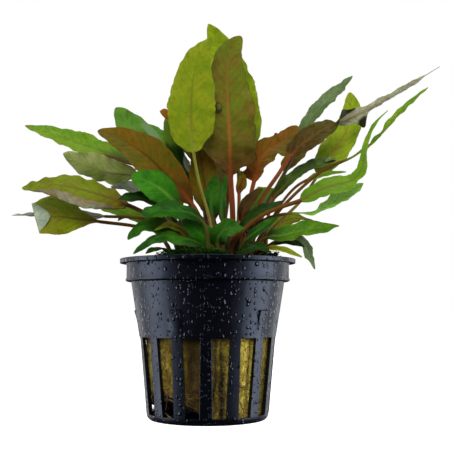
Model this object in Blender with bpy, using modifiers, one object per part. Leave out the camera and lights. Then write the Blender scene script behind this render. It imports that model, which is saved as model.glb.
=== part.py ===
# Potted cryptocoryne: a slotted net pot, a plug of mineral wool, two tufts of moss and its leaves.
# Blender 4.5. Run with: blender --background --python part.py
# The origin is the centre of the pot's base on the table, +Z is up, and the front is towards -Y.
# Sizes below are in millimetres, and MM turns them into metres.

import math

import bmesh
import bpy
from mathutils import Vector

MM = 0.001
COLLECTION_NAME = "potted_cryptocoryne"

# Pot
POT_HEIGHT = 50.0
LIP_RADIUS = 28.0
LIP_DEPTH = 1.4
COLLAR_RADIUS = 25.9
COLLAR_BOTTOM = 42.8
BODY_TOP_RADIUS = 24.4
BODY_KNEE_RADIUS = 21.45
BODY_KNEE_HEIGHT = 24.4
BODY_BOTTOM_RADIUS = 19.4
BASE_RADIUS = 18.2
BASE_CORNER_HEIGHT = 2.5
BASE_CORNER = 0.7
WALL = 1.1
FLOOR_THICKNESS = 1.4
LIP_ROUNDING = 0.4
BEAD_PROUD = 0.3
BEAD_HEIGHT = 0.9
POT_SIDES = 45

# Slots in the pot's wall, drain slots in its floor, and stacking lugs on its wall
SLOT_COUNT = 15
SLOT_FIRST_ANGLE = 10.5
SLOT_BOTTOM = 2.0
SLOT_TOP = 25.5
SLOT_WIDTH_TOP = 5.6
SLOT_WIDTH_BOTTOM = 4.2
SLOT_CUTTER_DEPTH = 12.0
DRAIN_COUNT = 5
DRAIN_INNER_RADIUS = 7.0
DRAIN_OUTER_RADIUS = 14.5
DRAIN_WIDTH = 3.4
LUG_COUNT = 5
LUG_FIRST_ANGLE = -25.5
LUG_WIDTH = 4.0
LUG_TOP = 34.0
LUG_HEIGHT = 6.0
LUG_PROUD = 0.7
LUG_DEPTH = 1.6
LUG_TAPER = 0.85

# Mineral wool plug: it fills the pot's lower part, and a piece is torn off its bottom edge at the front left
WOOL_TOP = 44.0
WOOL_CLEARANCE = 0.9
WOOL_TOP_CHAMFER = 0.5
WOOL_TEAR_ANGLE = -55.0
WOOL_TEAR_SPAN = 70.0
WOOL_TEAR_HEIGHT = 8.0
WOOL_SIDES = 24
WOOL_ROWS = 7
WOOL_LUMP = 0.45

# Moss on the wool along the rim, at the front and at the right
MOSS_RADIUS = 20.4
MOSS_HALF_WIDTH = 2.2
MOSS_TOP = 52.8
MOSS_STEP_ANGLE = 6.0
MOSS_END_SHARE = 0.4
MOSS_UNEVEN = 0.06
MOSS_ROUNDING = 0.9
MOSS_TUFTS = {
    "moss_front": (-46.0, 20.0),
    "moss_right": (60.5, 71.5),
}

# Meshes that touch keep this gap, because they hold 32-bit numbers
GAP = 0.3

# A leaf's route is given as seen by an eye in front of the pot: across and up on the plane y = 0,
# and the depth at which that point really lies.
EYE_DISTANCE = 265.0
EYE_HEIGHT = 35.1

# Cross-sections run from one margin over the upper side to the other margin and back underneath.
# A broad leaf has a midrib line, a small one has a flat middle.
BROAD_SECTION = (-1.0, -0.5, 0.0, 0.5, 1.0)
SMALL_SECTION = (-1.0, -0.4, 0.4, 1.0)

# STALK_TAPER is how much thinner the midrib is at the tip and STALK_ENDS the share of the blade by
# which it is flat. STRIP_STARTS and STRIP_ENDS are how fast a strip widens at the base and narrows at
# the tip, and RUFFLE_SHIFT is how far the two margins are out of step.
STALK_STATIONS = 3
STALK_TAPER = 0.4
STALK_ENDS = 0.2
STRIP_STARTS = 8.0
STRIP_ENDS = 6.0
RUFFLE_SHIFT = 1.3
BLADE_HALF_THICKNESS = 0.42
TIP_HALF_THICKNESS = 0.2


def seen_at(across, up, depth):
    """The real place of a point seen at (across, up) on the plane y = 0 that lies at y = depth."""
    reach = (depth + EYE_DISTANCE) / EYE_DISTANCE
    return Vector((across * reach, depth, EYE_HEIGHT + (up - EYE_HEIGHT) * reach))


def leaf(name, colour, base, route, blade_from, half_width, upper_side, upper_side_at_tip=None,
         widest=0.42, fold=12.0, wave=0.0, waves=2.0, stalk=0.55, broad=False, stations=8, blunt=0.7,
         point=None, strip=0.0):
    """One leaf with its stalk.

    base is where the stalk leaves the wool (x, y), route is the line that the stalk and the midrib
    follow as (across, up, depth), and the blade begins at point number blade_from of the route.
    upper_side is the direction that the blade's upper side faces, fold lifts its margins in degrees,
    wave is the height of the ruffle at the margins, and stalk is the stalk's radius. A smaller blunt
    makes the blade's base rounder and a smaller point its tip. strip is the least half-width of a blade
    that narrows to a long strip.
    """
    return {
        "name": name, "colour": colour, "base": base, "route": route, "blade_from": blade_from,
        "half_width": half_width, "upper_side": upper_side,
        "upper_side_at_tip": upper_side_at_tip or upper_side, "widest": widest, "fold": fold,
        "wave": wave, "waves": waves, "stalk": stalk, "broad": broad, "stations": stations,
        "blunt": blunt, "point": point or blunt, "strip": strip,
    }


LEAVES = [
    # Tall leaves in the middle
    leaf("leaf_tall_left", "yellow_green", (3.0, -9.5),
         [(2.3, 52.6, -9.5), (0.5, 63, -10), (-3, 75.4, -10.5), (-4.7, 84.8, -11), (-5.6, 98, -12),
          (-4.9, 109.5, -12), (-2.9, 117.3, -11.5), (1.5, 123.6, -10.5)],
         3, 7.5, (0.1, 1, 0), widest=0.36, fold=10, wave=0.5, stalk=0.5, broad=True, stations=12,
         blunt=0.5, point=0.8),
    leaf("leaf_tall_centre", "olive_brown", (8.5, -3),
         [(8.2, 53, -3), (7.9, 66, -3), (7.2, 77.4, -2.5), (7.0, 88, -2), (6.5, 99, -1.5), (6.1, 110, -1.5),
          (7.3, 118, -1.5), (10.8, 123.8, -2)],
         2, 9.3, (0, -1, 0.1), widest=0.22, fold=14, wave=1.2, waves=2.5, stalk=0.9, broad=True, stations=12,
         blunt=0.8, point=0.55),
    leaf("leaf_tall_back", "yellow_green", (9, 7),
         [(9, 52, 7), (10, 68, 9), (9.8, 80, 11), (9.5, 93, 12), (7.7, 105, 12), (4.4, 118, 11),
          (0, 127.9, 10)],
         2, 8.4, (0, -1, 0.15), widest=0.4, fold=10, wave=0.5, stalk=0.6, broad=True, stations=11),
    # Left side
    leaf("leaf_back_left_upper", "blue_green", (-2, 8),
         [(-1.5, 55, 9), (-6, 68, 11), (-10.5, 76.5, 14), (-16, 83.5, 16.5), (-21.5, 89, 19), (-26, 94.4, 21),
          (-30, 99.6, 22)],
         2, 8.0, (0.35, -0.8, 0.5), widest=0.45, fold=10, wave=0.5, broad=True, stations=10, blunt=0.6),
    leaf("leaf_broad_brown_left", "brown", (0.5, -1.5),
         [(0.3, 55, -1.5), (-3.4, 65.2, -3), (-7.1, 70.3, -4), (-13.2, 77.0, -5), (-20.3, 83.8, -6),
          (-28.2, 88.8, -7), (-36, 91.8, -8)],
         1.5, 6.4, (-0.3, -0.8, 0.55), widest=0.5, fold=12, wave=0.6, stalk=0.6, broad=True, stations=12,
         blunt=0.65),
    leaf("leaf_long_upper_left", "light_green", (-4.5, 4),
         [(-4.5, 55, 4), (-9.5, 68, 4), (-17, 77, 4), (-24, 81, 4.5), (-32, 84.2, 5), (-41, 87.2, 6),
          (-50, 90.6, 7), (-59.5, 93.4, 8)],
         2.9, 4.8, (-0.2, -0.7, 0.7), widest=0.46, fold=10, wave=0.5, stalk=0.6, broad=True, stations=11),
    leaf("leaf_grey_green_left", "grey_green", (-5, 0.5),
         [(-5, 54, 0.5), (-10, 62, 0.5), (-17, 71.6, 0), (-24, 77.2, -0.5), (-33, 78.4, -0.5),
          (-41, 81, 0), (-47, 84.3, 0.5)],
         2.8, 5.4, (0.1, 0.7, 0.7), widest=0.5, fold=8, wave=0.4, broad=True, stations=9),
    leaf("leaf_small_grey_left", "grey_green", (-8, 5.5),
         [(-8, 54, 6), (-12, 62, 8), (-18, 69, 10), (-25, 73.2, 11), (-31.5, 73.4, 12)],
         2, 3.6, (0, 0.5, 0.85), fold=8),
    leaf("leaf_olive_left", "olive", (-4.5, -8.5),
         [(-5, 54, -9), (-10.5, 60, -9.5), (-17.5, 63.6, -9.5), (-26, 67.6, -9.5), (-35, 70.8, -10.5),
          (-44, 73.2, -11.5), (-53, 74.2, -12.5), (-60, 72.9, -13)],
         3, 7.2, (-0.1, -0.8, 0.65), widest=0.43, fold=-16, wave=0.5, stalk=0.65, broad=True, stations=11),
    leaf("leaf_lower_left", "olive", (-7.5, -2.5),
         [(-7.5, 52.5, -2.5), (-13, 57.5, -2.5), (-22, 60.4, -2.8), (-34, 62.0, -3), (-41, 62.8, -3.5),
          (-48.5, 63.6, -4.5), (-55.8, 63.0, -7)],
         3, 7.2, (-0.2, -0.85, 0.5), widest=0.66, fold=6, wave=0.7, stalk=0.55, broad=True, stations=10,
         blunt=0.9, point=0.3),
    leaf("leaf_edge_on_left", "grey_green", (-9.5, 2),
         [(-9.5, 54, 2), (-13, 60.4, 3), (-21, 63.2, 4), (-33, 63.8, 5), (-47, 64.2, 6), (-63, 64.1, 7)],
         3, 4.6, (0, 0.26, 1), fold=6, stalk=0.5),
    leaf("leaf_bright_left", "bright_green", (-1.5, -11.5),
         [(-1.6, 52.6, -12.5), (-5.5, 60.6, -13.5), (-10.0, 67.4, -14), (-14.2, 71.9, -14.3),
          (-18.8, 74.8, -14.5), (-24.9, 77.0, -14.5)],
         2, 4.7, (-0.5, -0.75, 0.5), widest=0.52, fold=10, wave=0.4, broad=True, stations=9, blunt=0.6),
    leaf("leaf_dark_left", "dark_green", (-6.5, -5.5),
         [(-6.8, 54, -5.8), (-10.5, 62.0, -7.6), (-15, 67.0, -10.2), (-21, 69.5, -12.4), (-29.3, 69.4, -14)],
         1.3, 4.4, (0, -0.5, 0.85), fold=6, wave=0.3),
    leaf("leaf_across_left", "bright_green", (0.2, -14.8),
         [(0.2, 53.5, -16.4), (-1.4, 61.5, -18), (-6, 64.9, -18.6), (-12, 65.5, -19), (-17, 65.5, -19.4),
          (-21.5, 64.6, -19.6)],
         1.1, 4.6, (-0.1, -0.65, 0.8), widest=0.55, fold=8, wave=0.6, broad=True, stations=9, blunt=0.55),
    leaf("leaf_low_left", "green", (-9.5, -9),
         [(-9.3, 53, -11.0), (-13, 59, -13.0), (-18, 60.6, -13.7), (-22, 59.8, -14), (-25.8, 56.3, -14.5)],
         0.4, 3.8, (-0.2, -0.6, 0.75), fold=8, wave=0.3, blunt=0.6),
    leaf("leaf_small_low_left", "olive", (-4.6, -12.4),
         [(-5, 52.3, -13.0), (-8, 58.6, -13.0), (-12.5, 60.8, -14.4), (-17.2, 59.4, -16)],
         0.8, 2.0, (-0.2, -0.6, 0.75), fold=8, stalk=0.4),
    leaf("leaf_curved_left", "green", (-1.4, -14.6),
         [(-1.2, 52.5, -17.0), (-3.4, 55.4, -19), (-8, 56.8, -20.4), (-14, 57.6, -21.4), (-20, 55.4, -22.2),
          (-24, 51.7, -22.5)],
         0.1, 3.3, (-0.2, -0.55, 0.8), fold=-10, wave=0.2, blunt=0.6),
    leaf("leaf_rim_left", "bright_green", (-12.5, -7),
         [(-12.4, 51.6, -7.5), (-14.5, 53.4, -10.5), (-17, 53.2, -14), (-20, 51.9, -17)],
         0.8, 1.7, (0, -0.5, 0.85), fold=8, stalk=0.35),
    # Front
    leaf("leaf_green_front", "green", (4.2, -12.6),
         [(2.6, 52.6, -14.2), (0.2, 55.6, -14.8), (-3.0, 58.9, -15.0), (-8.2, 62.4, -15.2)],
         0.1, 3.3, (-0.2, -0.9, 0.4), fold=8, wave=0.3, stalk=0.5, blunt=0.6),
    leaf("leaf_upright_front", "green", (4.0, -6.6),
         [(3.2, 54, -6.8), (1.4, 63, -7.4), (0.9, 69, -7.6), (1.7, 73.4, -7.6), (2.8, 77.6, -7.6)],
         1.0, 2.7, (0.1, -1, 0.1), fold=10),
    leaf("leaf_narrow_upright", "green", (6.8, -7),
         [(6.2, 54, -6.8), (4.4, 64, -6.0), (4.3, 69.5, -5.4), (5.0, 73.8, -5.0), (5.8, 77.9, -4.8)],
         0.8, 1.6, (0.3, -1, 0.1), fold=10, stalk=0.45),
    leaf("leaf_short_right_front", "green", (6.5, -12.4),
         [(3.6, 53.0, -15.2), (3.4, 57.2, -17.2), (6.2, 59.9, -18.2), (12, 59.9, -18.8)],
         0.4, 3.9, (-0.3, -0.8, 0.55), widest=0.34, fold=8, wave=0.3, stalk=0.5, point=0.85),
    leaf("leaf_tan_front", "tan", (13.3, -10.9),
         [(13.2, 52.4, -11.4), (12.8, 55.2, -11.8), (13.8, 58.2, -12)],
         0.4, 1.5, (0.2, -1, 0.3), fold=8, stalk=0.4),
    leaf("leaf_dark_front", "dark_green", (10, -12.8),
         [(9.2, 51.4, -15.9), (12.4, 53.2, -17.6), (16, 54.2, -17.8), (20, 52.4, -18)],
         0.2, 2.5, (0.1, -0.6, 0.8), fold=8, stalk=0.4, blunt=0.6),
    # Middle
    leaf("leaf_brown_behind", "brown", (4.5, 1.5),
         [(4, 54, 1.5), (1.4, 65, 1.5), (-1.2, 75, 2), (-2.4, 83, 2.2), (-4.2, 91.5, 2.5)],
         0.8, 4.7, (0.1, -1, 0.1), fold=10, wave=0.4),
    leaf("leaf_dark_behind", "dark_green", (-3.2, 2.6),
         [(-3.4, 55, 2.8), (-4.5, 66, 3.6), (-7.5, 76, 4.4), (-11.0, 86, 4.4), (-14.0, 96, 4.2)],
         1.4, 3.7, (0.2, -0.95, 0.2), widest=0.5, fold=8, wave=0.4, stalk=0.45),
    leaf("leaf_small_brown", "brown", (12.4, -1),
         [(11.8, 54, -1), (10.3, 66, -1), (10.0, 72.4, -1), (11.0, 75.6, -1), (10.7, 79, -1)],
         1.8, 1.5, (0.2, -1, 0.2), fold=8, stalk=0.4),
    leaf("leaf_rolled_tip", "brown", (0.5, 4.5),
         [(0, 55, 4.8), (-1.6, 72, 6.5), (-5.2, 84, 7.8), (-10, 92.6, 8.4), (-15.4, 98.8, 8.6)],
         1.8, 3.2, (0.4, -0.8, 0.4), fold=24, wave=0.3, stalk=0.5, blunt=0.6, point=0.3),
    # Right side
    leaf("leaf_brown_right", "brown", (11.5, 3),
         [(11, 54, 3), (12.6, 65, 3.4), (14.9, 75.4, 4), (16.8, 82.0, 4.6), (20, 86, 5.4), (24.4, 88.2, 6),
          (29.2, 93.8, 7)],
         2, 4.2, (-0.25, -0.95, 0.3), widest=0.42, fold=10, wave=0.8, stalk=0.7, broad=True, stations=11,
         blunt=0.5),
    leaf("leaf_long_upper_right", "brown", (14, -3.5),
         [(13.2, 56, -3.6), (17.2, 69, -3.8), (23, 78, -4), (27.5, 84.4, -4.2), (33, 89.4, -4.4),
          (40, 93.8, -4.8), (50, 98.2, -5.5), (62, 105.0, -6.5), (76.5, 113.9, -8)],
         2.9, 5.0, (-0.5, -0.7, 0.5), (-0.4, 0.8, 0.5), widest=0.15, fold=10, wave=0.6, stalk=0.65,
         broad=True, stations=12, blunt=0.7, point=3.0, strip=1.0),
    leaf("leaf_grey_green_right", "grey_green", (13, 6.5),
         [(13, 56, 7), (20, 70, 9), (24.4, 77, 10), (28.4, 86, 11), (33, 95.6, 12), (41, 104.2, 13),
          (47.5, 110.6, 14)],
         3.2, 3.4, (-0.4, -0.7, 0.6), widest=0.5, fold=10, wave=0.3, stalk=0.5, broad=True, stations=9),
    leaf("leaf_bright_right", "bright_green", (16, 5.2),
         [(16, 54, 5.4), (19.5, 58.6, 5.6), (25, 64, 5.8), (30, 69, 6), (35.4, 77, 6.8), (39.4, 83, 7.4),
          (42.8, 88.0, 7.6), (45.8, 93.2, 7.6), (47, 99, 7.6), (46.5, 105.1, 7.6)],
         4.1, 5.2, (-0.4, -0.9, 0.2), widest=0.4, fold=8, wave=0.4, stalk=0.5, broad=True, stations=12,
         blunt=0.6),
    leaf("leaf_small_olive_right", "olive", (17, -0.5),
         [(17, 54, -0.5), (21.5, 64.5, -0.6), (28, 73.2, -0.6), (35, 77, -0.4), (45, 78.6, 0)],
         2.6, 2.2, (-0.2, -0.5, 0.8), fold=10, stalk=0.45),
    leaf("leaf_curled_right", "light_green", (7.8, -9.5),
         [(7.2, 53.6, -10.2), (11, 59, -11.4), (16.4, 63.7, -12.4), (23, 66.8, -13.2), (30, 69.2, -13.8),
          (38, 73.2, -14.8), (46.8, 75.8, -15.6), (50.3, 80, -16), (51.4, 87.6, -16), (54.6, 94.6, -15.6),
          (59, 99.1, -15)],
         4, 3.6, (-0.1, -0.75, 0.6), (-0.8, -0.5, 0.2), widest=0.24, fold=8, wave=0.3, stalk=0.65,
         broad=True, stations=13, point=2.4, strip=0.95),
    leaf("leaf_high_right", "green", (15, -7.0),
         [(15.4, 54, -7.3), (22, 64.5, -7.8), (30, 73, -8), (38, 79.4, -8.2), (48, 84, -8.6),
          (56, 90.4, -9), (64, 99.6, -9.6), (72.5, 106.9, -10.5)],
         3.5, 1.7, (-0.5, -0.5, 0.7), (-0.7, -0.5, 0.5), widest=0.6, fold=12, wave=0.3, stalk=0.5,
         broad=True, stations=10, strip=0.5),
    leaf("leaf_dark_folded_right", "dark_green", (18.8, 1.7),
         [(18.6, 56, 2), (20.5, 68, 2.6), (25, 74, 3), (31, 78.6, 3.2), (41.6, 82.6, 3.4)],
         1.2, 3.2, (-0.3, -0.6, 0.7), fold=20, wave=0.3, point=0.45),
    leaf("leaf_light_green_right", "light_green", (11.8, -7),
         [(11.8, 54, -7.6), (15, 60.6, -8.6), (20, 63.6, -9.4), (27, 65.0, -10), (35, 65.4, -10.4),
          (42, 69.4, -10.6), (50.5, 74.9, -10.8)],
         2.6, 3.5, (-0.1, -0.6, 0.8), widest=0.7, fold=14, wave=0.3, stalk=0.5, broad=True, stations=9,
         blunt=1.2, point=0.6),
    leaf("leaf_low_right", "green", (14.2, -9.2),
         [(14, 53.2, -10.6), (19, 57.0, -12), (24, 57.6, -13), (31, 59.4, -14), (42.5, 60.9, -15)],
         0.9, 4.6, (-0.1, -0.6, 0.8), fold=10, wave=0.4, broad=True, stations=9),
    leaf("leaf_dark_right", "dark_green", (9.6, -5.6),
         [(9.2, 54.6, -6.6), (11.6, 60.2, -8.0), (15.4, 64.4, -8.9), (19.5, 66.9, -9.3), (24.5, 69, -9.6)],
         0.5, 2.8, (-0.4, -0.7, 0.6), fold=10, wave=0.3),
    leaf("leaf_brown_mid_right", "brown", (14.5, 0),
         [(14.2, 55, -0.4), (11.2, 62, -3.0), (12.0, 66.6, -4.5), (14.4, 70.0, -5.2), (17.6, 73.0, -5.6)],
         1.0, 2.5, (-0.4, -0.8, 0.4), fold=8, stalk=0.4, blunt=0.6),
    leaf("leaf_bluish_right", "blue_green", (11, -10.4),
         [(10.6, 52.2, -11.8), (12.4, 56.2, -14.8), (17.4, 60.2, -17), (22.8, 63.9, -17.6)],
         0.9, 2.3, (-0.4, -0.7, 0.6), fold=8),
    leaf("leaf_low_olive_right", "olive", (15.6, -11),
         [(15.8, 51.8, -13), (19.4, 53.6, -15), (24.4, 53.0, -17), (30.4, 50.7, -19)],
         0.7, 1.9, (0, -0.5, 0.85), fold=8, stalk=0.4),
    leaf("leaf_low_dark_right", "dark_green", (17.4, -4.8),
         [(18.2, 52.6, -5.8), (22, 55.2, -7.8), (26, 55.7, -9.6), (31.4, 54.1, -10.4)],
         0.7, 2.6, (0.1, -0.5, 0.85), fold=8, stalk=0.4),
    leaf("leaf_hanging_right", "grey_green", (18, -2.8),
         [(18.4, 53, -3.2), (24.6, 56.8, -4.6), (30.2, 56.0, -5.6), (32.4, 51.6, -6.2), (34.4, 46.8, -6.6)],
         1.4, 2.3, (0.6, -0.8, 0.3), fold=10, stalk=0.4),
    # Back of the plant
    leaf("leaf_back_tall_left", "olive_brown", (0, 9.5),
         [(0, 55, 10.5), (-1.6, 70, 15), (-3.4, 84, 20), (-5.6, 97, 25), (-7, 107, 28)],
         1.8, 6.6, (0.1, -0.9, 0.4), fold=10, wave=0.7, stalk=0.7, broad=True, stations=9),
    leaf("leaf_back_tall_right", "light_green", (4.5, 11),
         [(4.5, 55, 12.5), (6.4, 70, 19), (7.4, 84, 26), (8, 97, 32), (8.6, 108, 36)],
         1.8, 6.4, (-0.1, -0.9, 0.4), fold=10, wave=0.6, stalk=0.7, broad=True, stations=9),
    leaf("leaf_back_arching", "brown", (1.5, 14),
         [(1.6, 55, 16), (1.8, 66, 24), (2.4, 76, 36), (3, 82, 50), (3.4, 82, 64)],
         1.0, 6.6, (0, -0.35, 0.9), fold=12, wave=0.7, stalk=0.7, broad=True, stations=9),
    leaf("leaf_back_left_arching", "olive", (-5, 11.5),
         [(-5.4, 55, 14), (-9.6, 66, 22), (-14.6, 74, 34), (-19.4, 78.6, 47), (-23.4, 79, 60)],
         1.0, 6.0, (0.2, -0.35, 0.9), fold=12, wave=0.6, stalk=0.65, broad=True, stations=9),
    leaf("leaf_back_right_arching", "light_green", (9.5, 13.5),
         [(9.8, 55, 15.5), (13.2, 64, 22), (17.4, 70, 32), (21, 73, 43), (24, 72, 54)],
         1.0, 5.6, (-0.2, -0.35, 0.9), fold=12, wave=0.5, stalk=0.6, broad=True, stations=9),
    leaf("leaf_back_left_low", "green", (-9.5, 10),
         [(-9.6, 53.6, 12), (-13, 60, 18), (-18, 64, 28), (-24, 65, 40), (-29, 62.4, 50)],
         0.4, 5.6, (0, -0.4, 1), fold=8, wave=0.5, stalk=0.5),
    leaf("leaf_back_far_left", "light_green", (-12, 6),
         [(-12.6, 53.6, 7), (-19, 60.5, 12), (-27.6, 65.2, 18), (-37, 67.4, 25), (-45, 66.4, 31)],
         1.0, 5.0, (0, -0.4, 1), fold=10, wave=0.5, stalk=0.5),
    leaf("leaf_back_low", "green", (-2.5, 17),
         [(-2.8, 52, 19), (-3.6, 58.6, 26), (-4.6, 63, 36), (-5.4, 62, 50)],
         0.1, 6.0, (0, -0.5, 1), fold=8, wave=0.4, stalk=0.5, blunt=0.55),
    leaf("leaf_back_right_low", "green", (6.5, 16.5),
         [(6.8, 52, 18.4), (8.4, 58.4, 25), (10.2, 62, 36), (11.4, 60.6, 48)],
         0.1, 6.0, (0, -0.5, 1), fold=8, wave=0.4, stalk=0.5, blunt=0.55),
    leaf("leaf_back_far_right", "olive", (16, 9),
         [(16.2, 53, 10.4), (20.5, 59.6, 15), (27, 63, 21), (34, 62.4, 28), (39, 59.8, 33)],
         0.4, 5.2, (0, -0.4, 1), fold=8, wave=0.4, stalk=0.5),
    leaf("leaf_back_right_tall", "brown", (14, 11),
         [(14.2, 55, 12.6), (19, 67, 18), (25, 78.5, 25), (30, 85.5, 32), (34, 90.5, 38)],
         2.0, 4.4, (-0.4, -0.6, 0.7), fold=12, wave=0.6, stalk=0.6, broad=True, stations=9),
]

# Base colour and roughness of each material
MATERIALS = {
    "pot_plastic": ((0.010, 0.012, 0.016), 0.28),
    "mineral_wool": ((0.30, 0.24, 0.07), 0.95),
    "moss": ((0.020, 0.060, 0.010), 0.90),
    "yellow_green": ((0.25, 0.36, 0.03), 0.45),
    "olive_brown": ((0.16, 0.13, 0.02), 0.45),
    "blue_green": ((0.09, 0.24, 0.06), 0.45),
    "brown": ((0.17, 0.09, 0.01), 0.45),
    "light_green": ((0.16, 0.34, 0.03), 0.45),
    "grey_green": ((0.22, 0.29, 0.13), 0.50),
    "olive": ((0.22, 0.24, 0.02), 0.45),
    "bright_green": ((0.08, 0.33, 0.01), 0.40),
    "dark_green": ((0.010, 0.060, 0.005), 0.40),
    "green": ((0.04, 0.20, 0.01), 0.40),
    "tan": ((0.38, 0.26, 0.04), 0.45),
}


def clear_scene():
    for old in list(bpy.data.objects):
        bpy.data.objects.remove(old, do_unlink=True)


def new_collection(name):
    collection = bpy.data.collections.new(name)
    bpy.context.scene.collection.children.link(collection)
    return collection


def make_material(name):
    colour, roughness = MATERIALS[name]
    material = bpy.data.materials.new(name)
    material.use_nodes = True
    shader = material.node_tree.nodes["Principled BSDF"]
    shader.inputs["Base Color"].default_value = (*colour, 1.0)
    shader.inputs["Roughness"].default_value = roughness
    shader.inputs["Metallic"].default_value = 0.0
    material.diffuse_color = (*colour, 1.0)
    return material


def add_object(name, mesh, collection, material=None):
    thing = bpy.data.objects.new(name, mesh)
    collection.objects.link(thing)
    if material is not None:
        mesh.materials.append(material)
    return thing


def smooth(mesh, angle=40.0):
    mesh.shade_smooth()
    mesh.set_sharp_from_angle(angle=math.radians(angle))


def round_the_pot(angle, radius, height):
    """A place at an angle in degrees from the front, counted towards +X."""
    turn = math.radians(angle)
    return Vector((radius * math.sin(turn), -radius * math.cos(turn), height))


def wall_radius(height):
    """The outer radius of the pot's tapered wall at a height below the collar."""
    if height > BODY_KNEE_HEIGHT:
        share = (height - BODY_KNEE_HEIGHT) / (COLLAR_BOTTOM - BODY_KNEE_HEIGHT)
        return BODY_KNEE_RADIUS + (BODY_TOP_RADIUS - BODY_KNEE_RADIUS) * share
    share = (height - BASE_CORNER_HEIGHT) / (BODY_KNEE_HEIGHT - BASE_CORNER_HEIGHT)
    return BODY_BOTTOM_RADIUS + (BODY_KNEE_RADIUS - BODY_BOTTOM_RADIUS) * share


def pot_profile():
    """The pot's section (radius, height): inside from the middle of the floor up, over the lip, down."""
    inside = [
        (0.0, FLOOR_THICKNESS),
        (BASE_RADIUS - WALL / 4, FLOOR_THICKNESS),
        (BODY_KNEE_RADIUS - WALL, BODY_KNEE_HEIGHT),
        (BODY_TOP_RADIUS - WALL, COLLAR_BOTTOM),
        (COLLAR_RADIUS - WALL, COLLAR_BOTTOM + WALL),
        (COLLAR_RADIUS - WALL, POT_HEIGHT),
    ]
    lip = [
        (LIP_RADIUS - LIP_ROUNDING, POT_HEIGHT),
        (LIP_RADIUS, POT_HEIGHT - LIP_ROUNDING),
        (LIP_RADIUS, POT_HEIGHT - LIP_DEPTH + LIP_ROUNDING),
        (LIP_RADIUS - LIP_ROUNDING, POT_HEIGHT - LIP_DEPTH),
        (COLLAR_RADIUS, POT_HEIGHT - LIP_DEPTH - LIP_ROUNDING),
    ]
    outside = [
        (COLLAR_RADIUS, COLLAR_BOTTOM + BEAD_HEIGHT),
        (COLLAR_RADIUS + BEAD_PROUD, COLLAR_BOTTOM + BEAD_HEIGHT * 0.6),
        (COLLAR_RADIUS, COLLAR_BOTTOM + BEAD_HEIGHT * 0.1),
        (BODY_TOP_RADIUS, COLLAR_BOTTOM),
        (BODY_KNEE_RADIUS, BODY_KNEE_HEIGHT),
        (BODY_BOTTOM_RADIUS, BASE_CORNER_HEIGHT),
        (BASE_RADIUS + BASE_CORNER, BASE_CORNER),
        (BASE_RADIUS, 0.0),
        (0.0, 0.0),
    ]
    return inside + lip + outside


def block(name, collection, width_top, width_bottom, depth, height):
    """A block that tapers in width from its top to its bottom, standing on the origin."""
    mesh = bpy.data.meshes.new(name)
    shape = bmesh.new()
    bmesh.ops.create_cube(shape, size=1.0)
    for corner in shape.verts:
        width = width_top if corner.co.z > 0 else width_bottom
        corner.co = Vector((corner.co.x * width, corner.co.y * depth, (corner.co.z + 0.5) * height)) * MM
    shape.to_mesh(mesh)
    shape.free()
    return add_object(name, mesh, collection)


def hide_cutter(cutter):
    cutter.hide_render = True
    cutter.display_type = "WIRE"


def place_round(thing, angle, radius, height):
    thing.location = round_the_pot(angle, radius, height) * MM
    thing.rotation_euler = (0.0, 0.0, math.radians(angle))


def make_slot_cutters(collection):
    for index in range(SLOT_COUNT):
        cutter = block(f"slot_cutter_{index + 1:02d}", collection, SLOT_WIDTH_TOP, SLOT_WIDTH_BOTTOM,
                       SLOT_CUTTER_DEPTH, SLOT_TOP - SLOT_BOTTOM)
        angle = SLOT_FIRST_ANGLE + index * 360.0 / SLOT_COUNT
        place_round(cutter, angle, wall_radius(SLOT_BOTTOM), SLOT_BOTTOM)
        hide_cutter(cutter)


def make_drain_cutters(collection):
    length = DRAIN_OUTER_RADIUS - DRAIN_INNER_RADIUS
    for index in range(DRAIN_COUNT):
        cutter = block(f"drain_cutter_{index + 1}", collection, DRAIN_WIDTH, DRAIN_WIDTH, length,
                       FLOOR_THICKNESS * 3)
        angle = SLOT_FIRST_ANGLE + index * 360.0 / DRAIN_COUNT
        place_round(cutter, angle, DRAIN_INNER_RADIUS + length / 2, -FLOOR_THICKNESS)
        hide_cutter(cutter)


def make_lugs(collection):
    """Wedges on the ribs that keep stacked pots from jamming, flush at the bottom and proud at the top."""
    for index in range(LUG_COUNT):
        lug = block(f"lug_{index + 1}", collection, LUG_WIDTH, LUG_WIDTH * LUG_TAPER, LUG_DEPTH, LUG_HEIGHT)
        for corner in lug.data.vertices:
            if corner.co.z < LUG_HEIGHT * MM / 2 and corner.co.y < 0:
                corner.co.y += LUG_PROUD * MM
        angle = LUG_FIRST_ANGLE + index * 360.0 / LUG_COUNT
        outer = wall_radius(LUG_TOP) + LUG_PROUD
        place_round(lug, angle, outer - LUG_DEPTH / 2, LUG_TOP - LUG_HEIGHT)
        hide_cutter(lug)


def add_boolean(thing, name, operation, collection):
    cut = thing.modifiers.new(name, "BOOLEAN")
    cut.operation = operation
    cut.solver = "EXACT"
    cut.operand_type = "COLLECTION"
    cut.collection = collection


def make_pot(collection):
    profile = pot_profile()
    mesh = bpy.data.meshes.new("pot")
    corners = [(radius * MM, 0.0, height * MM) for radius, height in profile]
    edges = [(index, index + 1) for index in range(len(corners) - 1)]
    mesh.from_pydata(corners, edges, [])
    pot = add_object("pot", mesh, collection, make_material("pot_plastic"))

    turn = pot.modifiers.new("turned_section", "SCREW")
    turn.steps = POT_SIDES
    turn.render_steps = POT_SIDES
    turn.use_merge_vertices = True
    turn.merge_threshold = 0.00005
    turn.use_smooth_shade = True

    lugs = new_collection("pot_lugs")
    make_lugs(lugs)
    add_boolean(pot, "lugs", "UNION", lugs)
    cutters = new_collection("pot_cutters")
    make_slot_cutters(cutters)
    make_drain_cutters(cutters)
    add_boolean(pot, "slots", "DIFFERENCE", cutters)
    return pot


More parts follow.
